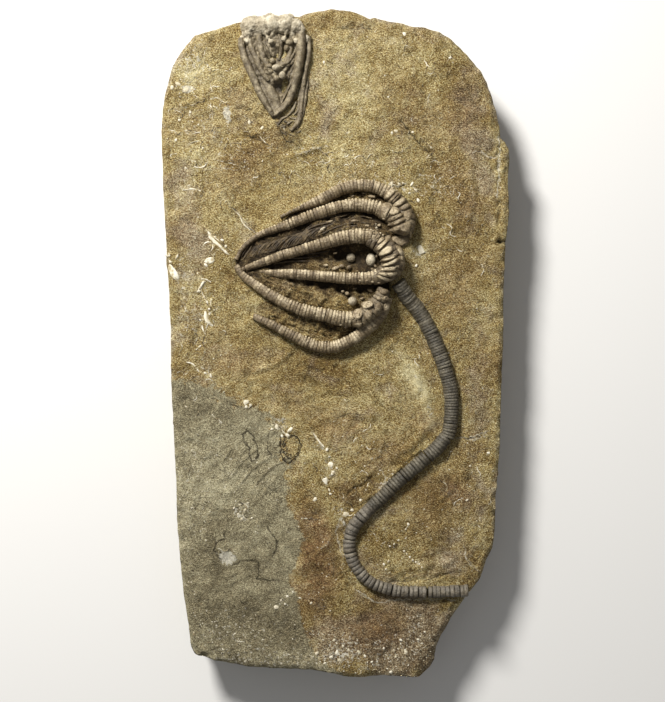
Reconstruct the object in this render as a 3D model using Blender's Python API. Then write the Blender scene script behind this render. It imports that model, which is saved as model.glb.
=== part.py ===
"""A slab of siltstone that holds a sea lily with its stem, and the head of a smaller one.

The slab lies on its flat back with the fossils up. The origin is on the back, under the middle of
the slab. +Y runs along the slab to the end with the small head, +X towards the edge that the stem
runs out at, and +Z up. The lists below are in millimetres, and the objects are in metres.
"""

import math

import bmesh
import bpy
from mathutils import Vector, noise
from mathutils.geometry import delaunay_2d_cdt

MM = 0.001

# Driving dimensions, in millimetres.
THICKNESS = 17.0  # from the flat back to the bedding face
RIM_CHAMFER = 1.3  # how far the broken rim is worn back at the face
BACK_CHAMFER = 2.2  # and at the back
GAP = 0.4  # clearance between a fossil and its mould in the stone
RIB_DEPTH = 0.13  # depth of the groove between two ossicles, as a share of the radius
STEM_PITCH = 2.8  # from one raised columnal to the next
ARM_PITCH = 3.0
SMALL_ARM_PITCH = 4.0
STEM_LIFT = 0.35  # how far a centre line stands above the stone, as a share of the radius
ARM_LIFT = 0.55
MOULD_STEP = 4.0  # spacing of the rings of a mould
SIDES = 6
STEM_SIDES = 7

# The slab's outline, clockwise from the small head. Its stretches are straight breaks.
OUTLINE = [
    (-11, 97.2), (-4.5, 99.6), (-1.5, 100.5), (4.5, 99.9), (10.5, 97.6), (16.5, 96.6), (23, 95.2),
    (28.5, 94.2), (34.5, 91.5), (40.5, 85.5), (45, 79), (48.2, 70), (49.5, 62), (52, 58.5),
    (52.5, 52), (51.8, 46), (52.4, 38), (51.1, 30), (50.8, 21), (50.5, 9), (50, -7), (49.5, -25),
    (48.6, -38), (48.1, -50), (47.4, -61), (45.2, -65.5), (44.2, -70), (40.5, -75), (35.5, -81.5),
    (32, -87.5), (30.2, -92), (29.6, -96), (27.5, -99), (24.5, -100.5), (14, -100.1), (6, -100.4),
    (-3, -98.9), (-10, -98), (-22, -97.5), (-35, -95.6), (-41.5, -93.9), (-43.5, -91), (-45.2, -79),
    (-46.6, -66.5), (-47.6, -54), (-48.2, -37), (-49, -20), (-49.6, -4), (-50.4, 17), (-51.2, 34),
    (-51.9, 50), (-52.5, 64), (-51.5, 74.5), (-49, 83.5), (-45.5, 89), (-42, 92.4), (-34, 95),
    (-27.5, 96.8), (-19, 97.2),
]

# Each route is a line of (x, y, radius) in millimetres, from the head or cup outwards.
STEM = [
    (18.6, 18, 2.4), (20.8, 14.6, 2.4), (25.1, 9.3, 2.4), (28.4, 3.3, 2.35), (31, -2.7, 2.3),
    (33.2, -9, 2.3), (34.6, -15, 2.25), (34.7, -21, 2.25), (33.9, -26.5, 2.2), (30.6, -31.2, 2.2),
    (25.1, -36, 2.2), (19.6, -40.6, 2.15), (14.8, -45.2, 2.1), (9.8, -50, 2.1), (5.6, -54.6, 2.05),
    (4.1, -60.2, 2.05), (5.8, -66.4, 2), (10, -71.2, 2), (16.3, -73.8, 1.95), (25.3, -74.6, 1.95),
    (33, -74.5, 1.9), (39.2, -74.2, 1.9),
]
ARMS = {
    "arm_1": [
        (21.2, 39.9, 2.1), (18.6, 42.8, 2), (14.6, 45.6, 1.8), (10.3, 47.1, 1.6), (6.8, 47.4, 1.5),
        (2.9, 46.7, 1.5), (-0.1, 45.5, 1.45), (-3.3, 43.9, 1.35), (-6.2, 42.4, 1.2),
        (-9.4, 40.9, 1),
    ],
    "arm_2": [
        (19.2, 37.6, 2.3), (16.3, 38.8, 2.25), (12.8, 40, 2.15), (8.8, 40.9, 1.95),
        (4.3, 41.1, 1.8), (-0.1, 40.4, 1.65), (-4.6, 39.1, 1.5), (-9.2, 37.4, 1.4),
        (-13.7, 35.6, 1.25), (-18.1, 34, 1.1), (-22.3, 32.4, 0.95), (-26, 30.2, 0.85),
        (-28.7, 27.8, 0.8),
    ],
    "arm_3": [
        (16.5, 29, 2.45), (14.2, 30.3, 2.4), (11.2, 31.1, 2.4), (7.9, 31.6, 2.25),
        (4.3, 31.5, 2.1), (0.8, 30.8, 1.9), (-3.1, 29.6, 1.7), (-7.6, 28.3, 1.5),
        (-12.2, 27, 1.45), (-16.6, 25.7, 1.3), (-21.1, 24.2, 1.1), (-25.4, 23, 0.85),
    ],
    "arm_4": [
        (16.2, 20.8, 2.4), (13.4, 19.7, 2.2), (9.8, 19.1, 1.9), (5, 19, 1.65), (0.8, 19.4, 1.5),
        (-4, 19.8, 1.5), (-8.8, 20.2, 1.5), (-13, 20.5, 1.45), (-16.9, 20.7, 1.3),
        (-20.8, 20.9, 1),
    ],
    "arm_5": [
        (13.2, 11.4, 2.9), (10.9, 9.4, 2.85), (7.6, 7.7, 2.7), (4.3, 7, 2.45), (0.8, 7.4, 2.1),
        (-3.1, 8.4, 1.8), (-7.6, 9.1, 1.55), (-11.5, 10.1, 1.5), (-15.1, 11.6, 1.45),
        (-18.8, 13.7, 1.4), (-22.1, 15.8, 1.3), (-25.6, 18.3, 1.2), (-28.2, 20.5, 1),
        (-29.6, 22.7, 0.8),
    ],
    "arm_6": [
        (15.8, 10.6, 2.1), (14.6, 7.4, 2.1), (12.4, 4.6, 1.95), (9.4, 2.4, 1.85), (6.1, 0.9, 1.8),
        (2.9, -0.4, 1.7), (-0.1, -1.3, 1.55), (-3.1, -1.5, 1.5), (-6.1, -1, 1.5), (-9.2, 0.2, 1.5),
        (-12.2, 1.7, 1.45), (-15.1, 3.2, 1.35), (-18.1, 4.8, 1.25), (-21.1, 6.3, 1.2),
        (-23.6, 7.6, 1.05),
    ],
}
# The cup is the fused plates that the arms fork from: one thick ray for each pair of arms.
CUP_RAYS = [
    [(18.2, 39, 2.5), (20, 36.2, 2.8), (20.5, 33, 2.7), (19.6, 29, 2.4)],
    [(14.6, 30.1, 2.4), (16.9, 28.7, 2.6), (18, 25.6, 2.7), (17.5, 22.4, 2.6), (15, 20.3, 2.4)],
    [(11.4, 9.8, 2.8), (13.3, 12, 2.9), (15.3, 14.6, 2.7), (17, 18.4, 2.3)],
]
CUP_LIFT = 1.0
CUP_PITCH = 2.5
SMALL_ARMS = {
    "small_arm_1": [
        (-27.6, 92, 0.95), (-27.3, 87.2, 0.95), (-25.8, 83.6, 0.9), (-24.3, 80, 0.9),
        (-22.6, 76.4, 0.9), (-20.8, 72.8, 0.8), (-18.9, 69.3, 0.7),
    ],
    "small_arm_2": [
        (-26, 92.6, 0.95), (-24.7, 87.6, 0.9), (-23.4, 84.6, 0.9), (-21.9, 81.6, 0.9),
        (-20, 78.6, 0.75),
    ],
    "small_arm_3": [
        (-22.8, 93, 1.05), (-22, 87.2, 1.05), (-20.8, 84, 1.05), (-19.4, 81.2, 0.95),
        (-17.7, 79, 0.8),
    ],
    "small_arm_4": [
        (-13, 93, 0.9), (-13.6, 87, 0.9), (-14.4, 83.4, 0.85), (-15.6, 80.4, 0.75),
    ],
    "small_arm_5": [
        (-10.6, 92.6, 1.3), (-10.5, 87, 1.3), (-11, 83, 1.25), (-11.7, 79, 1.2), (-12.7, 75.2, 1.1),
        (-14.3, 72, 0.95), (-17.2, 69.2, 0.75),
    ],
    "small_arm_6": [
        (-8, 91.6, 0.75), (-8.1, 86.5, 0.75), (-8.8, 82, 0.75), (-9.5, 77.4, 0.75),
        (-10, 73.2, 0.7), (-10.4, 69.4, 0.7), (-11.2, 66, 0.7), (-13.2, 63.4, 0.65),
    ],
    "small_arm_7": [
        (-21.4, 78.4, 0.9), (-19.8, 75.8, 1.1), (-18.2, 73.4, 1.1), (-17, 71.4, 0.8),
    ],
}
# The small cup: a low body, as a route, and (x, y, radius) of the knobs on its plates.
SMALL_CUP_BODY = [
    (-26.4, 91.6, 1.9), (-24.6, 93.8, 2.9), (-21.6, 94.6, 3.5), (-18, 94.6, 3.6), (-14.4, 94.6, 3.5),
    (-11.2, 93.8, 3), (-8.8, 91.8, 1.9),
]
SMALL_CUP_KNOBS = [
    (-24.4, 96.2, 1.6), (-21.1, 97.3, 1.6), (-17.8, 97.5, 1.6), (-14.5, 97.3, 1.6),
    (-11.3, 96, 1.5), (-25.4, 92.8, 1.5), (-22, 93.6, 1.7), (-18.4, 94, 1.7), (-14.4, 93.8, 1.7),
    (-10.4, 92.8, 1.6), (-20.2, 92.4, 1.6),
]
SMALL_CUP_LIFT = -0.3
KNOB_HEIGHT = 1.7
# Loose round plates in the hollow of the head: (x, y, radius).
OSSICLES = [(4.6, 25.5, 1.4), (10.6, 24.8, 1.5), (5, 12.4, 1.35), (11.4, 35.3, 1.05)]

# The stone's relief: swells that carry the two heads, and hollows between the arms.
# A swell is (x, y, half length, half width, height); a hollow is (start, end, half width, depth).
SWELLS = [(-2, 22, 31, 27, 3.6), (15, 25, 13, 20, 1.2), (-18, 88, 15, 16, 1.5)]
HOLLOWS = [
    ((-6, 24.6), (11, 25.2), 3.4, 3.4),
    ((-24, 27.5), (12, 36.2), 2.6, 1.6),
    ((-14, 17.6), (14, 15.4), 1.8, 2.4),
    ((0, 43.8), (12, 44), 1.3, 1.6),
    ((-17.5, 76), (-16.5, 73.5), 2.4, 1.4),
]
# A low curved step beside the stem, and the faint scour on its other side.
LOW_RIDGE = ((18.5, -3), (25.8, -22))
LOW_RIDGE_HEIGHT = 0.8
SWELL_OF_THE_BED = 0.7
BED_WAVE = 34.0

COARSE_STEP = 10.0
FINE_STEP = 5.2
FINE_AREAS = [((-32, -6), (26, 51)), ((-31, 62), (-4, 99))]


def clear_scene():
    for old in list(bpy.data.objects):
        bpy.data.objects.remove(old, do_unlink=True)


def stone_finish(name, colour, roughness):
    material = bpy.data.materials.new(name)
    material.use_nodes = True
    shader = material.node_tree.nodes["Principled BSDF"]
    shader.inputs["Base Color"].default_value = (*colour, 1)
    shader.inputs["Roughness"].default_value = roughness
    shader.inputs["Metallic"].default_value = 0
    return material


def solid(name, mesh_data, material):
    """The object of a finished bmesh, which is in millimetres."""
    bmesh.ops.recalc_face_normals(mesh_data, faces=mesh_data.faces)
    bmesh.ops.scale(mesh_data, vec=(MM, MM, MM), verts=mesh_data.verts)
    mesh = bpy.data.meshes.new(name)
    mesh_data.to_mesh(mesh)
    mesh_data.free()
    mesh.materials.append(material)
    made = bpy.data.objects.new(name, mesh)
    bpy.context.scene.collection.objects.link(made)
    return made


def combine(target, tools, operation):
    """Boolean each tool with the target, and hide the tools."""
    for tool in tools:
        step = target.modifiers.new(tool.name, "BOOLEAN")
        step.operation = operation
        step.solver = "EXACT"
        step.object = tool
        tool.hide_render = True
        tool.display_type = "WIRE"


def ease(share):
    """Smooth step from 0 to 1."""
    share = min(1.0, max(0.0, share))
    return share * share * (3 - 2 * share)


def distance_to(point, start, end):
    start, end = Vector(start), Vector(end)
    run = end - start
    share = min(1.0, max(0.0, (point - start).dot(run) / run.length_squared))
    return (point - start - run * share).length


def swell_height(x, y):
    """The bedding face with the swells that carry the two heads, but no hollows."""
    height = THICKNESS + SWELL_OF_THE_BED * noise.noise(Vector((x / BED_WAVE, y / BED_WAVE, 3.1)))
    for cx, cy, length, width, lift in SWELLS:
        reach = math.hypot((x - cx) / length, (y - cy) / width)
        height += lift * (1 - ease((reach - 0.35) / 0.65))
    ridge = distance_to(Vector((x, y)), *LOW_RIDGE)
    return height + LOW_RIDGE_HEIGHT * (1 - ease(ridge / 5))


def face_height(x, y):
    """The bedding face, hollows and all."""
    height = swell_height(x, y)
    for start, end, width, depth in HOLLOWS:
        height -= depth * (1 - ease(distance_to(Vector((x, y)), start, end) / width - 0.35))
    return height


def smooth_line(points, pitch):
    """Stations (x, y, radius) at an even pitch along the smooth curve through the points."""
    knots = [Vector(p) for p in points]
    knots = [2 * knots[0] - knots[1], *knots, 2 * knots[-1] - knots[-2]]
    fine = []
    for before, a, b, after in zip(knots, knots[1:], knots[2:], knots[3:]):
        for i in range(12):
            t = i / 12
            bend = (2 * before - 5 * a + 4 * b - after) * t * t
            twist = (3 * (a - b) + after - before) * t * t * t
            fine.append(0.5 * (2 * a + (b - before) * t + bend + twist))
    fine.append(knots[-2])
    run = [0.0]
    for a, b in zip(fine, fine[1:]):
        run.append(run[-1] + (b.xy - a.xy).length)
    count = max(2, round(run[-1] / pitch))
    stations, at = [], 0
    for i in range(count + 1):
        goal = run[-1] * i / count
        while at < len(run) - 2 and run[at + 1] < goal:
            at += 1
        share = (goal - run[at]) / (run[at + 1] - run[at])
        stations.append(fine[at].lerp(fine[at + 1], share))
    return stations


def rise(stations, lift):
    """The centre line in space: each station stands on the stone by a share of its radius."""
    return [Vector((x, y, swell_height(x, y) + lift * r)) for x, y, r in stations]


def loft(centres, radii, sides):
    """A closed tube of rings square to its centre line, with one vertex of each ring on top."""
    made = bmesh.new()
    rings = []
    for i, (centre, radius) in enumerate(zip(centres, radii)):
        ahead = centres[min(i + 1, len(centres) - 1)] - centres[max(i - 1, 0)]
        across = ahead.cross(Vector((0, 0, 1))).normalized()
        up = across.cross(ahead).normalized()
        ring = []
        for k in range(sides):
            turn = math.tau * k / sides
            ring.append(made.verts.new(centre + radius * (math.cos(turn) * up + math.sin(turn) * across)))
        rings.append(ring)
    for a, b in zip(rings, rings[1:]):
        for k in range(sides):
            made.faces.new((a[k], a[k - 1], b[k - 1], b[k]))
    made.faces.new(rings[0])
    made.faces.new(rings[-1][::-1])
    return made


def ribbed_tube(route, pitch, lift, sides):
    """A row of ossicles grown together: each is a short drum, with a groove to the next."""
    stations = smooth_line(route, pitch / 2)
    centres = rise(stations, lift)
    radii = []
    for i, station in enumerate(stations):
        radii.append(station.z * (1 - RIB_DEPTH * (i % 2)))
    return loft(centres, radii, sides)


def mould_tube(route, lift, sides, step=MOULD_STEP):
    """The hollow that a tube leaves in the stone: its own shape, a gap larger, and no ribs."""
    stations = smooth_line(route, step)
    centres = rise(stations, lift)
    grow = GAP / math.cos(math.pi / sides)
    ends = (centres[1] - centres[0]).normalized(), (centres[-1] - centres[-2]).normalized()
    centres[0] -= GAP * ends[0]
    centres[-1] += GAP * ends[1]
    return loft(centres, [station.z + grow for station in stations], sides)


def round_plate(x, y, radius, height, roundness=2):
    made = bmesh.new()
    bmesh.ops.create_icosphere(made, subdivisions=roundness, radius=radius)
    bmesh.ops.translate(made, vec=(x, y, height), verts=made.verts)
    return made


def inset(outline, by):
    """The outline moved inwards square to its edges."""
    moved = []
    for i, point in enumerate(outline):
        before, after = Vector(outline[i - 1]), Vector(outline[(i + 1) % len(outline)])
        along = (after - before).normalized()
        moved.append(Vector(point) + by * Vector((along.y, -along.x)))
    return moved


def inside(point, outline):
    crossings = 0
    for a, b in zip(outline, outline[1:] + outline[:1]):
        if (a[1] > point.y) != (b[1] > point.y):
            crossings += point.x < a[0] + (point.y - a[1]) / (b[1] - a[1]) * (b[0] - a[0])
    return crossings % 2 == 1


def in_fine_area(point):
    return any(low[0] < point.x < high[0] and low[1] < point.y < high[1] for low, high in FINE_AREAS)


def field_points(rim):
    """A triangular lattice inside the rim, finer where the heads lie."""
    found = []
    edges = list(zip(rim, rim[1:] + rim[:1]))
    for step, fine in ((COARSE_STEP, False), (FINE_STEP, True)):
        rows = int(2 * 101 / (step * 0.866)) + 1
        for row in range(rows):
            y = -101 + row * step * 0.866
            for column in range(int(106 / step) + 1):
                point = Vector((-53 + (column + 0.5 * (row % 2)) * step, y))
                if in_fine_area(point) != fine or not inside(point, rim):
                    continue
                if min(distance_to(point, a, b) for a, b in edges) > 0.45 * step:
                    found.append(point)
    return found


def make_slab(material):
    """The face is a net of facets at the height of the bed; worn rims join it to the back."""
    rim = inset(OUTLINE, RIM_CHAMFER)
    count = len(rim)
    points = rim + field_points(rim)
    points, _, faces, sources, _, _ = delaunay_2d_cdt(points, [], [list(range(count))], 1, 1e-4)
    made = bmesh.new()
    verts = [made.verts.new((x, y, face_height(x, y))) for x, y in points]
    for face in faces:
        made.faces.new([verts[i] for i in face])
    ring = [None] * count
    for vert, source in zip(verts, sources):
        for i in source:
            if i < count:
                ring[i] = vert
    for vert in ring:
        vert.co.z = min(vert.co.z, THICKNESS + 1.2) - 0.3
    levels = [(0.0, THICKNESS - 2.0), (0.7, 5.5), (BACK_CHAMFER, 0.0)]
    for level, (back_off, height) in enumerate(levels):
        below = []
        for i, (x, y) in enumerate(inset(OUTLINE, back_off)):
            if 0 < height < THICKNESS - 3:
                wear = noise.noise(Vector((x / 9, y / 9, level)))
                x, y = x * (1 - 0.006 * (1 + wear)), y * (1 - 0.003 * (1 + wear))
            below.append(made.verts.new((x, y, height)))
        for i in range(count):
            made.faces.new((ring[i - 1], ring[i], below[i], below[i - 1]))
        ring = below
    made.faces.new(ring)
    return solid("slab", made, material)


def make_cup(material):
    """The three rays joined by the low body of the cup, and the mould of it all."""
    rays, moulds = [], []
    for number, ray in enumerate(CUP_RAYS):
        tube = ribbed_tube(ray, CUP_PITCH, CUP_LIFT, STEM_SIDES)
        rays.append(solid(f"cup_ray_{number}", tube, material))
        mould = mould_tube(ray, CUP_LIFT, STEM_SIDES, CUP_PITCH)
        moulds.append(solid(f"cup_mould_{number}", mould, material))
    body = [(19.4, 32, 2.6), (19.2, 25, 3), (17.4, 18, 2.6), (14.6, 13.4, 2.6)]
    cup = solid("cup", ribbed_tube(body, 4.5, 0.3, STEM_SIDES), material)
    moulds.append(solid("cup_mould_body", mould_tube(body, 0.3, STEM_SIDES), material))
    combine(cup, rays, "UNION")
    return cup, moulds


def make_small_cup(material):
    """A lumpy body under a crust of knobbed plates."""
    body = ribbed_tube(SMALL_CUP_BODY, 5, SMALL_CUP_LIFT, SIDES)
    cup = solid("small_cup", body, material)
    body_mould = mould_tube(SMALL_CUP_BODY, SMALL_CUP_LIFT, SIDES)
    moulds, knobs, knob_moulds = [solid("small_cup_mould", body_mould, material)], [], []
    for number, (x, y, radius) in enumerate(SMALL_CUP_KNOBS):
        height = swell_height(x, y) + KNOB_HEIGHT
        knobs.append(solid(f"knob_{number}", round_plate(x, y, radius, height, 1), material))
        grown = round_plate(x, y, radius + GAP, height, 1)
        knob_moulds.append(solid(f"knob_mould_{number}", grown, material))
    combine(cup, knobs, "UNION")
    return cup, moulds, knob_moulds


def make_rows(routes, pitch, lift, sides, material, neighbours):
    """One tube for each route, trimmed where it meets its neighbours, and its moulds."""
    moulds = []
    for name, route in routes.items():
        row = solid(name, ribbed_tube(route, pitch, lift, sides), material)
        combine(row, neighbours + moulds, "DIFFERENCE")
        moulds.append(solid(f"{name}_mould", mould_tube(route, lift, sides), material))
    return moulds


def make_ossicles(material):
    moulds = []
    for number, (x, y, radius) in enumerate(OSSICLES, 1):
        height = face_height(x, y) + 0.45 * radius
        solid(f"ossicle_{number}", round_plate(x, y, radius, height), material)
        grown = round_plate(x, y, radius + GAP, height)
        moulds.append(solid(f"ossicle_{number}_mould", grown, material))
    return moulds


def build():
    clear_scene()
    siltstone = stone_finish("siltstone", (0.32, 0.235, 0.12), 0.9)
    calcite = stone_finish("calcite", (0.23, 0.185, 0.14), 0.6)
    dark_calcite = stone_finish("dark_calcite", (0.085, 0.075, 0.066), 0.55)
    slab = make_slab(siltstone)
    cup, cup_moulds = make_cup(calcite)
    small_cup, small_moulds, knob_moulds = make_small_cup(calcite)
    moulds = cup_moulds + small_moulds
    moulds += make_rows(ARMS, ARM_PITCH, ARM_LIFT, SIDES, calcite, cup_moulds)
    moulds += make_rows({"stem": STEM}, STEM_PITCH, STEM_LIFT, STEM_SIDES, dark_calcite, cup_moulds)
    small_cup_moulds = small_moulds + knob_moulds
    moulds += make_rows(SMALL_ARMS, SMALL_ARM_PITCH, ARM_LIFT, SIDES, calcite, small_cup_moulds)
    moulds += make_ossicles(calcite)
    combine(slab, moulds, "DIFFERENCE")


build()
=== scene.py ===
"""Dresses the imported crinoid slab: split siltstone, fossil calcite, and a plain studio."""

import math
import random

import bmesh
import bpy
import numpy as np
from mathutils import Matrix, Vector, noise
from mathutils.bvhtree import BVHTree


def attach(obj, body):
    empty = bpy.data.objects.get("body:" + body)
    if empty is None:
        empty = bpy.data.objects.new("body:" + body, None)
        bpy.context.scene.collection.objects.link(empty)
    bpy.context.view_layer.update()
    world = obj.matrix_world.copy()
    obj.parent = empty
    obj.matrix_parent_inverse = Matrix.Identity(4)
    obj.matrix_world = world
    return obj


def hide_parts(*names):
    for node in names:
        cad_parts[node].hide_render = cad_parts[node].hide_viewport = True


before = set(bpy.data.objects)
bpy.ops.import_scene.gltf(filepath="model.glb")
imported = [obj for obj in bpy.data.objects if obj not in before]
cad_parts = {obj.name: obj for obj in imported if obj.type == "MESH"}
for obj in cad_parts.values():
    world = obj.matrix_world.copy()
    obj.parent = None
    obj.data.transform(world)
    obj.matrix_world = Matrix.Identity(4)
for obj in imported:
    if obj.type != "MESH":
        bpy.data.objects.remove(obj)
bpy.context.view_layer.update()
bpy.ops.object.select_all(action="DESELECT")

# ---------------------------------------------------------------------------------- the slab
# A plate of fine siltstone, split from its bed along the old sea floor. Its rim was broken to
# shape by hand and is worn, its back is dressed flat, and iron has stained it gold and brown.

# Sizes are in millimetres, and the face is about 17 above the back.
MM = 0.001
FACE = 17.0
RIM = [
    (-10.7, 98.1), (-17, 97.6), (-25.6, 97.2), (-28.6, 96.6), (-33.1, 95.1), (-37, 93.9),
    (-42.1, 92.4), (-44.2, 90.3), (-46.6, 87.3), (-48.8, 83.4), (-50.2, 78.9), (-51.4, 74.4),
    (-52, 69.9), (-52.4, 63.9), (-52, 54.9), (-51.8, 45.9), (-51.1, 33.9), (-50.2, 18.9),
    (-49.6, 3.9), (-49.4, -11.1), (-48.8, -23.1), (-47.9, -41.1), (-47.5, -56.1), (-46.4, -68.1),
    (-45.4, -77.1), (-44.2, -84.6), (-43.4, -91.5), (-41.2, -93.9), (-34.6, -95.7), (-25.6, -97.2),
    (-16.6, -97.8), (-7.6, -98.1), (-1.6, -99), (2.9, -100.2), (7.3, -100.5), (14.8, -99.9),
    (19.3, -100.2), (25.3, -100.4), (28.3, -98.1), (29.8, -95.7), (30.4, -91.5), (32.2, -87.6),
    (34.9, -82.5), (38.2, -77.7), (40.4, -74.7), (43.6, -70.5), (44.5, -67.5), (45.4, -65.1),
    (47.2, -61.5), (47.9, -56.1), (48.1, -47.1), (48.8, -38.1), (49.4, -32.1), (49.6, -23.1),
    (49.9, -11.1), (50.5, 0.9), (50.5, 12.9), (50.9, 24.9), (51.1, 30), (52.2, 38.4), (52, 44.4),
    (51.8, 50.4), (52.4, 54.9), (52, 58.5), (50.9, 60.6), (49.6, 61.8), (49.4, 64.8), (48.4, 69.3),
    (46.9, 74.4), (45.1, 78.9), (43.4, 81.9), (40.4, 85.5), (37.9, 88.2), (34.4, 91.5),
    (31.3, 93.3), (26.8, 94.8), (22.9, 95.1), (19.3, 96.3), (16.3, 96.6), (11.8, 97.8),
    (10.3, 97.5), (7.9, 98.7), (4.3, 99.9), (1.3, 99.9), (-1.6, 100.4), (-4.6, 99.9), (-7.6, 99.3),
    (-10.7, 98.1),
]
# Swells that carry the heads are (x, y, half length, half width, height).
SWELLS = [(-2, 22, 31, 27, 3.6), (15, 25, 13, 20, 1.2), (-18, 88, 15, 16, 1.5)]
# Hollows between the arms are (start, end, half width, depth).
HOLLOWS = [
    ((-6, 24.6), (11, 25.2), 3.4, 3.4),
    ((-24, 27.5), (12, 36.2), 2.6, 1.6),
    ((-14, 17.6), (14, 15.4), 1.8, 2.4),
    ((0, 43.8), (12, 44), 1.3, 1.6),
    ((-17.5, 76), (-16.5, 73.5), 2.4, 1.4),
]
# The mud that fills the large crown reaches out to the middle of its outer arms.
CROWN_RING = [
    (-29.8, 23.4), (-30, 24.9), (-28.7, 27.6), (-26, 30.2), (-22.3, 32.4), (-18.1, 34),
    (-15.8, 36.3), (-13.7, 38.7), (-9.8, 40.8), (-6.1, 42.4), (-3.1, 43.9), (-0.1, 45.5),
    (2.9, 46.7), (6.8, 47.4), (10.3, 47.1), (14.5, 45.6), (17.2, 43.8), (19.9, 40.5), (20.6, 36.3),
    (19.9, 32.1), (18.8, 29.1), (18.8, 24.3), (17.8, 21.3), (16.6, 18.3), (16.6, 15.9),
    (15.8, 12.9), (14.5, 7.8), (12.4, 4.8), (9.4, 2.5), (6.1, 0.9), (2.9, -0.4), (-0.1, -1.3),
    (-3.1, -1.5), (-6.1, -1), (-9.2, 0.2), (-12.2, 1.7), (-15.1, 3.2), (-18.1, 4.8), (-21.1, 6.3),
    (-23.8, 8.1), (-23.2, 10.8), (-21.1, 12.3), (-20.2, 14.1), (-22.1, 15.8), (-25.6, 18.3),
    (-28.2, 20.5), (-29.8, 23.4),
]
# The unstained patch of grey stone, from the left rim round to the bottom.
GREY_EDGE = [
    (-55.6, -9.9), (-49.6, -10.2), (-44.9, -11.1), (-41.9, -11.1), (-38.9, -12.9), (-36.4, -12.9),
    (-34.9, -15.3), (-32.2, -15.9), (-29.2, -18.3), (-26.8, -18.6), (-23.2, -20.1), (-20.8, -21.3),
    (-18.8, -23.4), (-16.9, -25.8), (-16.3, -28.5), (-16.3, -32.1), (-15.4, -35.1), (-13.7, -36.3),
    (-14.8, -38.1), (-15.1, -41.1), (-14.5, -44.1), (-14.5, -47.1), (-13, -50.7), (-11.5, -53.7),
    (-9.8, -56.7), (-9.4, -59.1), (-10.7, -61.5), (-11.2, -63.9), (-12.2, -66.9), (-13.7, -69),
    (-14.2, -71.1), (-13.3, -73.5), (-11.8, -75.3), (-11.5, -77.7), (-10.7, -80.7), (-10, -84.3),
    (-8.8, -87.3), (-7.3, -90.3), (-6.5, -92.7), (-4.6, -95.1), (-1.3, -97.2), (1.9, -99.3),
    (3.1, -104.1), (-55.6, -104.1), (-55.6, -9.9),
]


FAR_OFF = 1e9


def offsets(spots, line):
    """For each leg of a line of points, its ends and how each spot lies off it."""
    for a, b in zip(np.array(line[:-1], float), np.array(line[1:], float)):
        share = np.clip((spots - a) @ (b - a) / ((b - a) @ (b - a)), 0, 1)
        yield a, b, spots - a - share[:, None] * (b - a)


def away_from(spots, line):
    """How far each spot is from a line of points."""
    nearest = np.full(len(spots), FAR_OFF)
    for _, _, gap in offsets(spots, line):
        nearest = np.minimum(nearest, np.linalg.norm(gap, axis=1))
    return nearest


def inside(spots, ring):
    """Whether each spot lies inside a closed ring of points."""
    odd = np.zeros(len(spots), bool)
    x, y = spots.T
    for (ax, ay), (bx, by) in zip(ring, ring[1:]):
        if ay != by:
            odd ^= ((ay > y) != (by > y)) & (x < ax + (y - ay) / (by - ay) * (bx - ax))
    return odd


def ease(share):
    """A smooth step from 0 to 1."""
    share = np.clip(share, 0, 1)
    return share * share * (3 - 2 * share)


def grain(spots, size, seed):
    """Smooth noise at each spot, about -0.5 to 0.5, with patches of the given size."""
    return np.array([noise.noise(Vector((x / size, y / size, seed))) for x, y in spots])


def swelling(spots):
    """Height of the sea floor at each spot, with the swells that carry the heads."""
    height = FACE + 0.7 * grain(spots, 34, 3.1)
    for x, y, length, width, lift in SWELLS:
        reach = np.hypot((spots[:, 0] - x) / length, (spots[:, 1] - y) / width)
        height += lift * (1 - ease((reach - 0.35) / 0.65))
    return height


def bedding(spots):
    """Height of the stone's face at each spot, with the hollows between the arms."""
    height = swelling(spots)
    for start, end, width, depth in HOLLOWS:
        height -= depth * (1 - ease(away_from(spots, [start, end]) / width - 0.35))
    return height


def begin(name, add, **settings):
    """Adds a primitive, with nothing else selected, and names it."""
    bpy.ops.object.select_all(action="DESELECT")
    add(**settings)
    bpy.context.active_object.name = name
    return bpy.context.active_object


def cut_sheet(name, ring, columns, rows):
    """A fine grid cut to a ring, flat at zero and left in edit mode with its edge selected."""
    spare = 0.2
    low, high = np.min(ring, axis=0) - spare, np.max(ring, axis=0) + spare
    middle = (low + high) / 2
    grid = bpy.ops.mesh.primitive_grid_add
    sheet = begin(name, grid, x_subdivisions=columns, y_subdivisions=rows, size=1)
    bpy.ops.transform.resize(value=((high[0] - low[0]) * MM, (high[1] - low[1]) * MM, 1))
    bpy.ops.transform.translate(value=(middle[0] * MM, middle[1] * MM, 0))
    bpy.ops.object.transform_apply(location=True, rotation=False, scale=True)
    bpy.ops.object.mode_set(mode="EDIT")
    bpy.ops.mesh.select_mode(type="FACE")
    bpy.ops.mesh.select_all(action="DESELECT")
    mesh = bmesh.from_edit_mesh(sheet.data)
    kept = inside(np.array([face.calc_center_median().xy[:] for face in mesh.faces]) / MM, ring)
    for face, keep in zip(mesh.faces, kept):
        face.select_set(not keep)
    bmesh.update_edit_mesh(sheet.data)
    bpy.ops.mesh.delete(type="FACE")
    # The loose edge is drawn onto the ring.
    mesh = bmesh.from_edit_mesh(sheet.data)
    ring = np.array(ring)
    run = ring[1:] - ring[:-1]
    for vert in mesh.verts:
        if vert.is_boundary:
            spot = np.array(vert.co.xy) / MM
            share = np.clip(((spot - ring[:-1]) * run).sum(1) / (run * run).sum(1), 0, 1)
            feet = ring[:-1] + share[:, None] * run
            vert.co.xy = feet[np.linalg.norm(feet - spot, axis=1).argmin()] * MM
    bmesh.update_edit_mesh(sheet.data)
    bpy.ops.mesh.select_mode(type="EDGE")
    bpy.ops.mesh.select_non_manifold()
    return sheet


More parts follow.
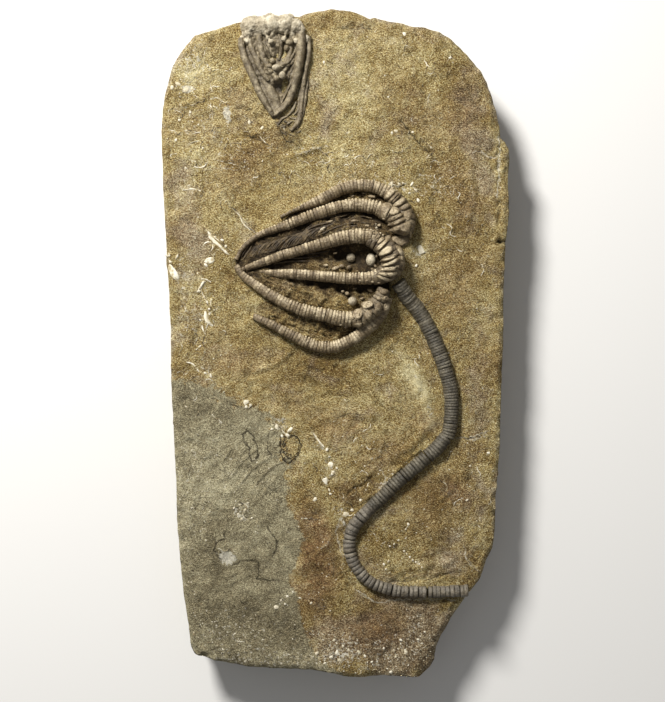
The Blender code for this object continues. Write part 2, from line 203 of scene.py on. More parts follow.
def pull_down(courses):
    """Draws the selected edge down in courses, from 0 to 1, and closes the bottom."""
    for depth, above in zip(courses, [0.0] + courses):
        bpy.ops.mesh.extrude_edges_move(TRANSFORM_OT_translate={"value": (0, 0, above - depth)})
    bpy.ops.mesh.edge_face_add()
    bpy.ops.mesh.select_all(action="SELECT")
    bpy.ops.mesh.normals_make_consistent(inside=False)
    bpy.ops.object.mode_set(mode="OBJECT")


def places_of(piece):
    """The points of a piece, in metres."""
    places = np.empty(len(piece.data.vertices) * 3)
    piece.data.vertices.foreach_get("co", places)
    return places.reshape(-1, 3)


def plan_of(piece):
    """Where the points of a cut sheet lie on the plan, and their share of the way down it."""
    places = places_of(piece)
    return places[:, :2] / MM, -places[:, 2]


def set_places(piece, places):
    """Moves the points of a piece, in metres."""
    piece.data.vertices.foreach_set("co", np.ascontiguousarray(places, float).ravel())
    piece.data.update()


# Low ridges on the face are (half width, height, points).
RIDGES = [
    (3.2, 0.8, [(16.5, -0.5), (20.5, -4), (24, -9.6), (26.6, -17), (28, -23.5)]),
    (1.6, 0.5, [(-1.5, -27), (-3.7, -36.6), (0, -40), (3, -47)]),
    (0.9, 0.45, [(12, -45.5), (17.4, -42.4), (22, -37.4)]),
    (0.75, 0.45, [(-31.3, -40.2), (-29.2, -36.9), (-26.8, -34.2), (-23.8, -32.1)]),
    (0.75, 0.45, [(-28.3, -41.7), (-25.6, -38.4), (-22.1, -35.4), (-18.4, -33.6)]),
    (0.75, 0.4, [(-25.1, -44.1), (-22.1, -39.9), (-18.4, -36.6), (-14.5, -35.1)]),
    (0.7, 0.35, [(-22.1, -45.9), (-19.6, -42.3), (-16.1, -39)]),
    (0.7, 0.3, [(-34, -35.7), (-31.6, -32.1), (-28.6, -29.4)]),
    (1.4, 0.5, [(-15.4, 55.5), (-11.8, 56.4), (-8.2, 57.6), (-4.6, 58.8)]),
    (1.6, 0.5, [(-10.7, 96.9), (-9.2, 93.9), (-9.8, 89.7)]),
    (1.2, 0.4, [(-47.2, 70.5), (-43.6, 72.6), (-39.1, 73.5)]),
    (1.5, 0.45, [(23.8, 57.3), (20.6, 60.9), (18.8, 64.5)]),
    (2, 0.5, [(-4.6, -23.1), (2.9, -20.7), (10.9, -21.9)]),
    (1.6, 0.5, [(-7, -65.1), (-1.6, -59.1), (0.1, -51.6)]),
    (2.2, 0.6, [(17.8, -33.6), (22.9, -30.9), (26.8, -26.1)]),
    (1.6, 0.5, [(-24.1, -8.7), (-18.1, -6.3), (-13.7, -2.7)]),
    (0.8, 1.1, [(12.2, -45), (14.5, -42.9), (16.9, -39.9), (19.1, -37.5)]),
    (0.6, 0.8, [(4.3, -53.1), (6.5, -50.4), (9.2, -48.3)]),
    (0.6, 0.7, [(20.6, -35.7), (22.9, -33.9), (25.3, -32.1)]),
    (0.9, 0.6, [(7.3, -48.3), (9.8, -46.2), (11.5, -45.3)]),
    (1, 0.4, [(3.8, -29.1), (5.5, -26.1), (9.2, -24.9), (12.8, -26.1), (14.5, -29.4), (13.3, -33.3),
        (9.8, -35.4)]),
    (1.4, 0.45, [(18.8, -38.1), (22.3, -35.7), (26.6, -35.7), (30.1, -37.5)]),
    (1.2, 0.4, [(31.3, -47.1), (34.9, -44.1), (36.1, -40.5)]),
    (1.6, 0.5, [(19.3, -68.7), (26.8, -66.9), (34.4, -65.7)]),
    (1.8, 0.45, [(40.4, 51.9), (41.5, 44.4), (39.8, 36.9)]),
    (1.4, 0.4, [(13.3, 93.9), (19.3, 92.1), (22.9, 88.5)]),
    (1.6, 0.45, [(-44.9, 12.9), (-41.9, 7.5), (-43.6, 0.9)]),
    (1.4, 0.4, [(-10.7, -8.7), (-4.6, -11.1), (-0.4, -15.3)]),
]
# Broken steps in the bedding are (half width, depth, points).
STEPS = [
    (0.9, 0.5, [(13.3, -71.7), (18.1, -71.4), (23.8, -71.1), (29.5, -70.5), (34.4, -69.3),
        (37.9, -69.3)]),
    (0.7, 0.8, [(49.6, 61.5), (49, 54.9), (49.4, 47.4), (49.6, 41.4), (49, 35.4), (49.4, 30.6)]),
    (0.8, 1.2, [(48.8, 30.6), (50.2, 30.3), (51.8, 30.9)]),
    (0.8, 0.6, [(1.3, 94.5), (5.8, 95.1), (10.9, 94.8)]),
    (0.7, 0.5, [(-29.8, 70.5), (-26.2, 69.6), (-23.8, 68.1), (-22.1, 65.1)]),
    (0.9, 0.7, [(19.9, 66.3), (22.3, 63.3), (25.3, 60), (28.9, 56.7)]),
    (0.8, 0.6, [(2.5, -47.1), (4.3, -44.7), (7.9, -42.9), (10.9, -40.5)]),
    (1, 0.6, [(0.8, -65.1), (1.9, -69.6), (5, -73.5)]),
    (0.8, 0.5, [(36.8, 31.5), (34.9, 35.1), (31.9, 36.9)]),
    (0.8, 0.5, [(28.3, 1.5), (31.9, -2.7), (31.3, -6.9)]),
    (0.8, 0.6, [(-26.8, 62.4), (-23.8, 61.5), (-20.2, 59.1)]),
    (0.8, 0.5, [(-10.7, -6.9), (-5.2, -8.7), (0.1, -7.5)]),
]
# Hair cracks, packed with black grime, are (strength, points).
CRACKS = [
    (1, [(-16.3, -28.5), (-13.9, -27.6), (-11.5, -28.2), (-10.3, -30.9), (-11.5, -33.9),
        (-13.9, -36), (-15.8, -35.1), (-16.6, -32.7), (-16.3, -28.5)]),
    (1, [(-15.4, -29.1), (-15.8, -31.8), (-14.8, -34.2), (-13, -35.1)]),
    (0.8, [(-14.8, -30.3), (-14.5, -32.7), (-13.3, -33.9)]),
    (0.8, [(-14.2, -28.5), (-12.8, -28.2), (-11.2, -29.4)]),
    (0.7, [(-12.2, -35.1), (-10.9, -32.7), (-10.9, -30.9)]),
    (0.8, [(-27.8, -27.3), (-26.2, -26.4), (-24.8, -27.9), (-23.6, -30.9), (-23.2, -34.2),
        (-24.8, -35.7), (-25.9, -34.2), (-25.9, -31.2), (-27.4, -29.7), (-27.8, -27.3)]),
    (0.6, [(-19.6, -26.7), (-20.6, -29.1), (-20.2, -31.8), (-19.3, -33.9)]),
    (0.8, [(-33.4, -56.7), (-33.4, -58.8), (-35.9, -60), (-36.4, -62.1), (-35.5, -64.2),
        (-34.6, -64.5)]),
    (0.8, [(-20.2, -55.5), (-18.8, -57.6), (-17.6, -59.1), (-17.6, -61.8), (-18.8, -64.2)]),
    (0.7, [(-30.8, -66.9), (-28.3, -65.7), (-25.6, -65.1), (-23.2, -65.7), (-22.9, -69),
        (-23.8, -70.8), (-22.1, -70.8), (-19.6, -71.4), (-16.9, -71.1)]),
    (0.4, [(-28.6, -35.1), (-29.8, -36.9), (-31.3, -39), (-31.9, -40.2)]),
    (0.6, [(-28.6, -77.1), (-27.8, -78.3), (-26.8, -78)]),
    (0.4, [(-38.9, -46.5), (-37, -48.6), (-34.9, -50.1)]),
    (0.5, [(-34.6, -38.1), (-32.9, -39), (-33.4, -37.2)]),
    (0.5, [(-35.2, -16.2), (-32.9, -17.1), (-30.8, -18.6), (-28.3, -19.2)]),
    (0.8, [(19.9, 66.3), (21.8, 64.2), (23.6, 61.8), (25.9, 59.4), (28.9, 56.4)]),
    (0.5, [(2.5, 94.5), (5, 94.2), (7.6, 94.5), (10.7, 94.2)]),
    (0.5, [(-29.2, 70.5), (-26.8, 69.9), (-25.1, 70.2)]),
    (0.5, [(-34, 54.6), (-31.9, 54), (-29.2, 54.3)]),
    (0.7, [(-26.8, 62.1), (-24.8, 61.8), (-23.6, 62.4)]),
    (0.6, [(-17.8, 66.3), (-16.1, 62.7), (-15.1, 60.6), (-12.2, 60)]),
    (1, [(49, 30.6), (50.2, 30.3), (51.4, 30.6)]),
    (0.5, [(35.9, -28.2), (39.1, -28.8), (43.4, -28.2)]),
    (0.6, [(13.9, -72), (18.1, -71.7), (22.3, -71.4)]),
    (0.6, [(27.8, -71.1), (31.3, -70.2), (34.4, -69)]),
    (0.5, [(2.5, -53.1), (4.3, -57), (3.1, -60.9)]),
    (0.5, [(-10.7, -42.9), (-7, -44.7), (-5.2, -48.6)]),
    (0.4, [(16.3, -87.3), (21.1, -86.1), (25.3, -83.7)]),
    (0.5, [(0.8, -22.5), (4.3, -21.3), (7.9, -21.6)]),
    (0.5, [(-1.6, -63.9), (-0.4, -66.9), (-0.8, -69.9)]),
]
# Pale veins of shell in the face are (strength, points).
VEINS = [
    (0.9, [(49, 61.8), (49.4, 57.9), (48.8, 53.7), (49, 48.9), (48.4, 44.1)]),
    (0.7, [(41.2, 57.3), (43.6, 57.6), (45.4, 56.1), (47.2, 55.5), (49, 55.8)]),
    (0.7, [(36.4, -28.5), (39.8, -28.5), (42.8, -27.6), (45.8, -26.4)]),
    (0.6, [(37.9, -28.5), (41.5, -29.1), (45.1, -28.2)]),
    (0.4, [(38.5, -60.9), (39.1, -63.9), (40.6, -66.6), (43, -68.1)]),
    (0.7, [(6.1, -74.1), (8.5, -75.3), (10.7, -77.1), (13.3, -78)]),
    (0.5, [(13.3, -78), (18.1, -77.1), (23.6, -77.1), (28.9, -76.8), (35.9, -77.1)]),
    (0.6, [(1.3, -53.1), (0.1, -56.7), (1.1, -60.6), (2.2, -63.9)]),
    (0.8, [(-6.8, -27.3), (-5, -29.4), (-3.8, -31.8)]),
    (0.5, [(-31, 40.5), (-29.2, 39), (-27.1, 36.3), (-25.6, 34.2), (-23.8, 33)]),
    (0.5, [(-11.8, 56.4), (-8.8, 57.6), (-5.2, 58.5)]),
    (0.5, [(-44.2, 84.9), (-44.5, 81.9), (-45.4, 78.9)]),
    (0.5, [(13.3, -38.1), (15.1, -39.9), (14.5, -42.3)]),
    (0.4, [(-39.1, 51.9), (-34.6, 52.5), (-29.8, 51.9)]),
]

slab = cut_sheet("siltstone_slab", RIM, 196, 372)
pull_down([0.03, 0.07, 0.13, 0.2, 0.29, 0.39, 0.5, 0.62, 0.74, 0.86, 0.95, 1.0])
spots, depth = plan_of(slab)
from_rim = away_from(spots, RIM)

# The face: waves of the bed, its low forms, and the worn, chipped rim.
height = bedding(spots)
for width, lift, line in RIDGES:
    height += lift * (1 - ease(away_from(spots, line) / width))
wander = 0.9 * grain(spots, 2.4, 7.7) + 0.5 * grain(spots, 1.1, 7.1)
for width, cut, line in STEPS:
    height -= cut * (1 - ease(np.abs(away_from(spots, line) + wander) / width - 0.1))
waves = 0.26 * grain(spots, 9, 1.7) + 0.32 * grain(spots, 3.6, 5.2) + 0.3 * grain(spots, 1.8, 8.4)
broad_pits = 0.3 * ease(2.4 * grain(spots, 5.5, 31.2) - 0.3)
small_pits = 0.2 * ease(3 * grain(spots, 2.6, 33.7) - 0.6)
height += waves
height -= broad_pits + small_pits
rim_drop = 1.1
chips = 0.9 + 1.5 * np.clip(grain(spots, 4.5, 11.3) + 0.1, 0, 1)
height -= rim_drop * (1 - ease(from_rim / (chips * 1.5))) * (0.75 + 0.8 * grain(spots, 2.2, 4.4))
# The corner at the lower right is broken away in a rough bevel.
corner_drop, corner_width = 1.7, 3.6
corner = away_from(spots, [(31.9, -89.1), (29.5, -95.1), (26.6, -99.3)])
height -= corner_drop * (1 - ease(corner / corner_width)) * (0.9 + 0.6 * grain(spots, 1.5, 9.1))
# Under the crown the stone makes room for the mud that fills it.
crown_room = 4
height -= crown_room * ease(away_from(spots, CROWN_RING) / 1.2) * inside(spots, CROWN_RING)

# The side: it leans in to the back, and the bed's thin layers show as broken steps.
rough, fine = (
    np.array([
        noise.noise(Vector((x / size, y / size, d * layers))) for (x, y), d in zip(spots, depth)])
    for size, layers in ((7, 5), (2.4, 13)))
lean = 0.5 * ease((depth - 0.1) / 0.6) + 1.7 * ease((depth - 0.62) / 0.38)
broken_face = 0.9 * rough + 0.6 * fine + 0.15
set_in = np.where(depth > 0, lean + np.minimum(depth * 8, 1) * broken_face, 0)
outward = (spots - [0.0, -1.5]) * [1, 0.5]
outward /= np.linalg.norm(outward, axis=1)[:, None] + 1e-9
set_places(slab, np.column_stack([spots - outward * set_in[:, None], height * (1 - depth)]) * MM)


def paint(piece, name, values):
    """Stores one painted value for each point of a piece, or paints over what is there."""
    layers = piece.data.attributes
    layer = layers.get(name) or layers.new(name, "FLOAT", "POINT")
    layer.data.foreach_set("value", np.asarray(values, np.float32).ravel())


def patches(spots, blots):
    """Soft blots (x, y, half length, half width, turn in degrees, strength), summed."""
    total = np.zeros(len(spots))
    for x, y, length, width, turn, strength in blots:
        c, s = math.cos(math.radians(turn)), math.sin(math.radians(turn))
        u = ((spots[:, 0] - x) * c + (spots[:, 1] - y) * s) / length
        v = ((spots[:, 1] - y) * c - (spots[:, 0] - x) * s) / width
        total += strength * (1 - ease((np.hypot(u, v) - 0.3) / 0.9))
    return total


# Where the stain is pale (above 0) or dark (below 0). A few blots beside the large crown are
# painted light and shade instead: painted shadow under its lowest arm, and a painted pool of light
# to the right of its cup.
PALE_BLOTS = [
    (-5, 83, 22, 16, 20, 0.06), (2, 66, 12, 30, 0, 0.04), (-40, 62, 14, 26, 0, 0.05),
    (-44, 84, 9, 7, 40, 0.12), (22, 85, 16, 7, 0, 0.05), (40, 70, 10, 26, 0, -0.05),
    (36, 38, 14, 22, 0, -0.1), (42, 5, 9, 40, 0, -0.06), (-42, 8, 12, 22, 0, 0.05),
    (24, 27, 4, 3.4, 0, 0.16), (24.2, -11, 11, 3.4, -62, 0.28), (25, -12, 8, 1.3, -62, 0.2),
    (28, -22, 5, 2, -75, 0.2), (8, -10, 18, 10, -30, 0.03), (-26, -8, 12, 4, 15, 0.02),
    (-2, -33, 10, 7, 20, 0.05), (30, -48, 16, 14, 0, -0.1), (34, -62, 12, 8, 20, -0.06),
    (2, -47, 6, 5, 0, -0.12), (6, -80, 18, 8, 0, -0.14), (16, -93, 26, 8, 0, -0.12),
    (28, -86, 10, 12, 0, -0.1), (-7, -60, 5, 18, 5, -0.1), (-30, -45, 18, 20, 0, 0.08),
    (-38, -62, 9, 22, 0, 0.03), (-26, -84, 22, 12, -6, -0.14), (-22, -68, 8, 6, 0, -0.08),
    (12, 59, 10, 12, 0, -0.03), (-26, 54, 12, 6, 30, -0.06), (-20, 61, 8, 5, 0, -0.08),
    (-14, 5, 22, 5, -20, -0.1), (-34, 34, 8, 5, 20, 0.02), (-38, 26, 6, 4, 0, 0.04),
    (0, 56, 6, 4, 10, 0.08), (22, -2, 6, 12, 20, -0.04), (41, -70, 6, 6, 40, -0.06),
    (-6, 92, 6, 4, 0, 0.06), (3, -12, 7, 6, 0, -0.13), (9, -43, 8, 6, 30, -0.15),
    (-6, -8, 13, 6, -10, -0.15), (-22, -1, 12, 5, -25, -0.1), (21, 19, 4, 5, 0, 0.12),
    (-14, 42, 9, 4, 25, 0.08), (12, -62, 6, 7, 0, -0.12), (4, -60, 5, 12, 0, -0.06),
    (-41, -66, 5, 18, 0, 0.06), (-16, -42, 5, 6, 0, 0.09), (5, 70, 8, 11, 0, 0.1),
    (-34, 19, 9, 7, 0, -0.1), (-32, 79, 6, 5, 0, 0.08), (-46, 42, 4, 8, 0, 0.06),
    (-43, -2, 7, 10, 0, -0.08), (43, 36, 8, 12, 0, -0.04), (28, 11, 5, 4, 0, -0.08),
    (22, -56, 8, 5, 0, -0.03), (40, -66, 6, 8, 0, -0.06), (-30, -78, 8, 5, 0, -0.04),
    (22, 40, 5, 8, 0, -0.08), (31, 52, 8, 5, 0, -0.06), (0, 62, 8, 4, 0, 0.04),
    (-9, -3.6, 8, 5, 0, -0.12), (21, 19, 4, 5, 0, 0.08), (20, -4, 5, 8, -20, 0.1),
    (13, -26, 7, 5, 0, 0.1), (21, -33, 6, 5, 30, -0.1), (5, -49, 4, 5, 0, -0.08),
    (-31, 49, 8, 5, 0, 0.09), (13, 56, 8, 4, 0, 0.08), (36, 56, 7, 5, 0, 0.09),
    (37, 19, 7, 5, 0, 0.09), (-9, -33, 6, 5, 0, 0.08), (-2, -86, 6, 6, 0, -0.07),
    (34, 79, 12, 9, -30, -0.1), (-41, 80, 6, 6, 0, 0.07), (41, -10, 6, 14, 0, 0.05),
    (13, -77, 10, 5, 0, -0.06), (-36, -62, 14, 14, 0, -0.1), (-40, 81, 8, 7, 0, 0.06),
    (36, 80, 10, 8, -30, -0.05), (0, 76, 7, 8, 0, 0.03),
]
# Where iron has stained the stone rusty brown.
RUST_BLOTS = [
    (-7, -52, 6, 14, 8, 1), (-5, -70, 8, 16, -4, 1.15), (2, -88, 16, 9, 0, 0.5),
    (-22, 56, 14, 8, 25, 0.4), (-10, 46, 9, 4, 20, 0.3), (30, 62, 12, 20, 0, 0.25),
    (0, -27, 12, 6, 20, 0.3), (18, -30, 16, 6, 40, 0.3), (-28, -6, 14, 5, 10, 0.5),
    (3, -45, 7, 5, 0, 0.7), (34, 14, 8, 14, 0, 0.3), (28, -52, 14, 12, 0, 0.35),
    (-40, 2, 10, 6, 0, 0.35), (-46, 92, 8, 5, 40, 0.4), (36, -44, 5, 5, 0, 0.4),
    (14, -66, 12, 4, 0, 0.3), (-46, 40, 5, 10, 0, 0.3), (-12, -20, 10, 4, -15, 0.4),
    (40, 52, 8, 20, 0, 0.35), (12, 75, 7, 9, 0, 0.2), (12, -33, 12, 6, 10, 0.5),
    (36, -42, 9, 6, 0, 0.3), (10, -86, 20, 8, 0, 0.3),
]
# Where the stain thins out to drab grey brown.
DRAB_BLOTS = [
    (40, 66, 9, 16, 0, 0.7), (-2, 74, 9, 14, 0, 0.4), (-46, 50, 5, 26, 0, 0.6),
    (-30, 66, 10, 6, 0, 0.4), (12, -92, 30, 9, 0, 0.9), (46, 50, 4, 14, 0, 0.8),
    (30, -88, 9, 12, 0, 0.8), (40, -50, 10, 14, 0, 0.35), (-42, 30, 6, 12, 0, 0.4),
    (6, -30, 10, 6, 20, 0.3), (20, 66, 7, 6, 0, 0.4), (44, -20, 6, 20, 0, 0.35),
    (-24, -2, 10, 5, 10, 0.3), (26, -60, 14, 8, 0, 0.2), (-14, 62, 10, 5, 20, 0.3),
    (10, 95, 14, 4, 0, 0.2), (-43, 22, 7, 26, 0, 0.5), (36, -63, 9, 8, 0, 0.6),
    (44, -16, 6, 16, 0, 0.4), (16, -84, 26, 14, 0, 0.8),
]
# Chalky spots, where fine shell lies just under the face.
CHALK_BLOTS = [
    (-32.4, 68.4, 1.5, 3.2, 4, 1.2), (-44.6, 76.2, 2, 1.6, 0, 1.2),
    (-32.4, -64.4, 4, 2.8, -25, 1.1), (-28, -50.6, 3.4, 4.6, 0, 0.55), (-44, -44, 8, 34, 0, 0.22),
    (-33, -36, 9, 14, 0, 0.14), (-30, -86, 18, 10, 0, 0.28), (-16, -95, 30, 4, 0, 0.36),
    (1.6, -92, 6.5, 5.4, 0, 0.36), (16, -92, 20, 9, 0, 0.26), (27, -84, 10, 9, 0, 0.2),
    (38, -62, 7, 14, 0, 0.18), (-41, 66, 10, 30, 0, 0.24), (-44, 85, 8, 7, 40, 0.3),
    (-28, 58, 12, 9, 0, 0.22), (-40, 14, 9, 26, 0, 0.16), (16, 46.6, 8, 3.6, -10, 0.5),
    (30, 47, 10, 5, 0, 0.28), (24.6, -11, 9, 1.1, -62, 0.4), (28.1, -20, 3, 1.4, -80, 0.6),
    (49.4, 52, 0.6, 10, 0, 0.8), (4, 62.6, 4, 1.6, 0, 0.5), (-8, 57, 10, 4, 15, 0.3),
    (25, 27, 3, 2.4, 0, 0.5), (-4, 90, 7, 3, 10, 0.3), (20, 88, 12, 4, -5, 0.2),
    (-2, -38, 2.6, 7, -10, 0.45), (2, -53, 1.8, 8, 10, 0.5), (14, -58, 6, 6, 0, 0.2),
    (-16, -24, 4, 3, -30, 0.6), (-16.5, -77.5, 3.6, 1.2, 38, 0.5), (6, -62, 14, 14, 0, 0.1),
    (12, -34, 2.4, 1.6, 0, 0.4), (15, -42, 5, 1.6, 42, 0.6), (42, -24, 7, 20, 0, 0.14),
    (34, 26, 14, 26, 0, 0.1), (-43, 8, 8, 12, 0, 0.16), (-46, 22, 4, 8, 0, 0.3),
]
# Black grime that the needles left behind, and painted shadow along the underside of the large
# crown's lowest arm.
GRIME_AND_SHADE_BLOTS = [
    (-29.5, 23.5, 3, 4, 0, 0.45), (-13.5, 63.5, 5.5, 6.5, 0, 0.45), (-12, 0.2, 12, 1.5, -20, 0.22),
    (6, -3, 9, 1.4, 8, 0.15), (-19, -28, 1.4, 2, 0, 0.2), (24, 30, 1.4, 5, 0, 0.15),
    (14.5, -42.5, 5, 1.2, 42, 0.15), (11, -43, 7, 3.5, 42, 0.2), (5, -47, 3, 4, 0, 0.18),
    (33, -43, 2.4, 4, 10, 0.2), (40, -41, 1.6, 3, 0, 0.18), (16, -33, 3, 2.4, 0, 0.15),
    (-8, -10, 5, 3, -20, 0.12), (36, -56, 3, 2, 0, 0.12), (-1, -60, 2, 5, 0, 0.12),
]


def across(spots, lines):
    """Signed distance from the nearest of some lines, and how near and strong that line is."""
    best = np.full(len(spots), FAR_OFF)
    side = np.full(len(spots), 9.0)
    near = np.zeros(len(spots))
    for strength, line in lines:
        for a, b, gap in offsets(spots, line):
            far = np.linalg.norm(gap, axis=1)
            turn = np.sign(gap[:, 1] * (b - a)[0] - gap[:, 0] * (b - a)[1])
            closer = far < best
            side[closer] = (far * turn)[closer]
            near[closer] = (strength * (1 - ease(far / 0.9 - 0.3)))[closer]
            best[closer] = far[closer]
    return np.clip(side, -3, 3), near


grey = np.where(inside(spots, GREY_EDGE), 1, -1) * away_from(spots, GREY_EDGE)
worn = 1 - ease(from_rim / 1.4)
# Its upper shore fades, and the one on its right is sharp.
grey *= np.interp(spots[:, 1], [-62, -34], [1, 0.32])
paint(slab, "grey_stone", np.clip(grey, -4, 4))
paint(slab, "pale", patches(spots, PALE_BLOTS) + 0.08 * worn)
paint(slab, "rust_and_shade", np.clip(patches(spots, RUST_BLOTS) + 0.8 * grain(spots, 15, 21.3), 0, 1.2))
paint(slab, "drab", patches(spots, DRAB_BLOTS) + 0.5 * worn)
paint(slab, "chalk", np.clip(patches(spots, CHALK_BLOTS), 0, 1.2))
smudges = np.clip(0.9 + 1.6 * grain(spots, 1.4, 6.1), 0, 1.6)
# This value holds grime and painted shadow, here and in the crown's mud.
paint(slab, "grime_and_shade", patches(spots, GRIME_AND_SHADE_BLOTS) * smudges)
for name, lines in (("crack", CRACKS), ("vein", VEINS)):
    side, near = across(spots, lines)
    paint(slab, f"{name}_side", side)
    paint(slab, f"{name}_near", near)


def new_finish(name):
    """A node material, its nodes, its shader and the piece's own coordinates in millimetres."""
    finish = bpy.data.materials.new(name)
    finish.use_nodes = True
    tree = finish.node_tree
    place = tree.nodes.new("ShaderNodeTexCoord")
    scale = tree.nodes.new("ShaderNodeMapping")
    scale.inputs["Scale"].default_value = (1000, 1000, 1000)
    tree.links.new(place.outputs["Object"], scale.inputs["Vector"])
    return finish, tree, tree.nodes["Principled BSDF"], scale.outputs["Vector"]


def speckle(tree, place, size, detail, roughness=0.6, warp=0.0):
    """Noise with patches about the given size in millimetres."""
    node = tree.nodes.new("ShaderNodeTexNoise")
    node.inputs["Scale"].default_value = 1 / size
    node.inputs["Detail"].default_value = detail
    node.inputs["Roughness"].default_value = roughness
    node.inputs["Distortion"].default_value = warp
    tree.links.new(place, node.inputs["Vector"])
    return node.outputs["Fac"]


def painted(tree, name):
    """The painted values of that name."""
    node = tree.nodes.new("ShaderNodeAttribute")
    node.attribute_name = name
    return node.outputs["Fac"]


def sums(tree, operation, first, second, third=0.0):
    """One Math node, on sockets or plain numbers."""
    node = tree.nodes.new("ShaderNodeMath")
    node.operation = operation
    for socket, value in zip(node.inputs, (first, second, third)):
        if isinstance(value, (int, float)):
            socket.default_value = value
        else:
            tree.links.new(value, socket)
    return node.outputs[0]


def between(tree, value, low, high):
    """Takes a value from 0 at the low mark to 1 at the high mark."""
    node = tree.nodes.new("ShaderNodeMapRange")
    node.inputs["From Min"].default_value = low
    node.inputs["From Max"].default_value = high
    tree.links.new(value, node.inputs["Value"])
    return node.outputs["Result"]


def shades(tree, value, stops):
    """A ramp through (place, colour) stops."""
    node = tree.nodes.new("ShaderNodeValToRGB")
    ramp = node.color_ramp
    while len(ramp.elements) < len(stops):
        ramp.elements.new(0.5)
    for stop, (place, colour) in zip(ramp.elements, stops):
        stop.position = place
        stop.color = (*colour, 1)
    tree.links.new(value, node.inputs["Fac"])
    return node.outputs["Color"]


def blend(tree, share, first, second):
    """One Mix node, from the first colour to the second."""
    node = tree.nodes.new("ShaderNodeMix")
    node.data_type = "RGBA"
    sockets = node.inputs[0], node.inputs[6], node.inputs[7]
    for socket, value in zip(sockets, (share, first, second)):
        if isinstance(value, (int, float)):
            socket.default_value = value
        elif isinstance(value, tuple):
            socket.default_value = (*value, 1)
        else:
            tree.links.new(value, socket)
    return node.outputs[2]


def fine_lines(tree, place, waver, width, patch, edge):
    """Fine lines where one noise passes its middle, in the patches that another one makes."""
    off = sums(tree, "ABSOLUTE", sums(tree, "SUBTRACT", speckle(tree, place, *waver), 0.5), 0)
    lines = sums(tree, "SUBTRACT", 1.0, between(tree, off, *width))
    return sums(tree, "MULTIPLY", lines, between(tree, speckle(tree, place, *patch), *edge))


def bumps(tree, height, depth, before=None):
    """One Bump node, with its depth in millimetres."""
    node = tree.nodes.new("ShaderNodeBump")
    node.inputs["Distance"].default_value = depth * MM
    tree.links.new(height, node.inputs["Height"])
    if before:
        tree.links.new(before, node.inputs["Normal"])
    return node.outputs["Normal"]


# Siltstone: quartz silt that reads as fine grit, stained in clouds within clouds, with hair
# cracks and flecks of dark and pale grains.
siltstone, tree, shader, place = new_finish("siltstone")
clouds = speckle(tree, place, 13, 3)
mottle = speckle(tree, place, 4.2, 5, 0.68, 0.4)
blotch = speckle(tree, place, 2.0, 4, 0.7, 0.3)
grit = speckle(tree, place, 0.55, 3, 0.8)
dust = speckle(tree, place, 0.3, 2, 0.9)
hair = fine_lines(tree, place, (2.6, 3, 0.6, 1.5), (0.0, 0.02), (6, 2), (0.5, 0.62))
lace = fine_lines(tree, place, (1.9, 2, 0.5, 2.2), (0.004, 0.02), (5, 2, 0.6, 0.5), (0.56, 0.66))
stain = sums(tree, "MULTIPLY_ADD", clouds, 0.65, sums(tree, "MULTIPLY", mottle, 0.65))
stain = sums(tree, "MULTIPLY_ADD", blotch, 0.18, stain)
fine = sums(tree, "MULTIPLY_ADD", grit, 0.75, sums(tree, "MULTIPLY", dust, 3.2))
stain = sums(tree, "ADD", fine, stain)
mid_tone = 2.205
stain = sums(tree, "ADD", painted(tree, "pale"), sums(tree, "SUBTRACT", stain, mid_tone))
gold = shades(tree, stain, [
    (0.05, (0.086, 0.042, 0.009)), (0.32, (0.237, 0.147, 0.039)), (0.5, (0.403, 0.285, 0.094)),
    (0.68, (0.603, 0.482, 0.2)), (0.92, (0.9, 0.81, 0.49)),
])
drab = shades(tree, stain, [
    (0.05, (0.073, 0.045, 0.022)), (0.32, (0.218, 0.145, 0.073)), (0.5, (0.367, 0.263, 0.139)),
    (0.68, (0.557, 0.443, 0.262)), (0.92, (0.84, 0.76, 0.54)),
])
brown = shades(tree, stain, [
    (0.05, (0.048, 0.023, 0.009)), (0.36, (0.189, 0.096, 0.036)), (0.6, (0.36, 0.212, 0.081)),
    (0.92, (0.66, 0.53, 0.275)),
])
grey = shades(tree, sums(tree, "MULTIPLY_ADD", fine, -0.2, sums(tree, "ADD", stain, 0.4)), [
    (0.05, (0.084, 0.065, 0.033)), (0.34, (0.202, 0.168, 0.094)), (0.54, (0.36, 0.303, 0.173)),
    (0.9, (0.74, 0.68, 0.45)),
])
drabness = sums(
    tree, "MULTIPLY_ADD", painted(tree, "drab"), 0.25, speckle(tree, place, 9, 4, 0.6, 0.5))
drabness = between(tree, drabness, 0.54, 0.74)
# The rust value also carries painted shade in the crown's mud.
rust_and_shade_mix = sums(tree, "MULTIPLY", painted(tree, "rust_and_shade"), sums(tree, "MULTIPLY_ADD", mottle, 2.4, -0.5))
colour = blend(tree, drabness, gold, drab)
colour = blend(tree, rust_and_shade_mix, colour, brown)
shore = sums(tree, "SUBTRACT", blotch, 0.5)
shore = sums(tree, "MULTIPLY_ADD", shore, 4.5, painted(tree, "grey_stone"))
colour = blend(tree, sums(tree, "MULTIPLY", between(tree, shore, -1.6, -0.1), 0.35), colour, brown)
colour = blend(tree, between(tree, shore, -0.25, 0.25), colour, grey)
frost = sums(
    tree, "MULTIPLY_ADD", painted(tree, "chalk"), 0.3, speckle(tree, place, 0.95, 3, 0.7, 0.5))
chalky = sums(tree, "MULTIPLY", between(tree, frost, 0.68, 0.76), 0.8)
colour = blend(tree, chalky, colour, (0.83, 0.78, 0.64))
colour = blend(tree, sums(tree, "MULTIPLY", lace, 0.55), colour, (0.72, 0.66, 0.48))
colour = blend(tree, sums(tree, "MULTIPLY", hair, 0.55), colour, (0.06, 0.042, 0.022))
wobble = sums(tree, "SUBTRACT", speckle(tree, place, 1.3, 3, 0.6), 0.5)


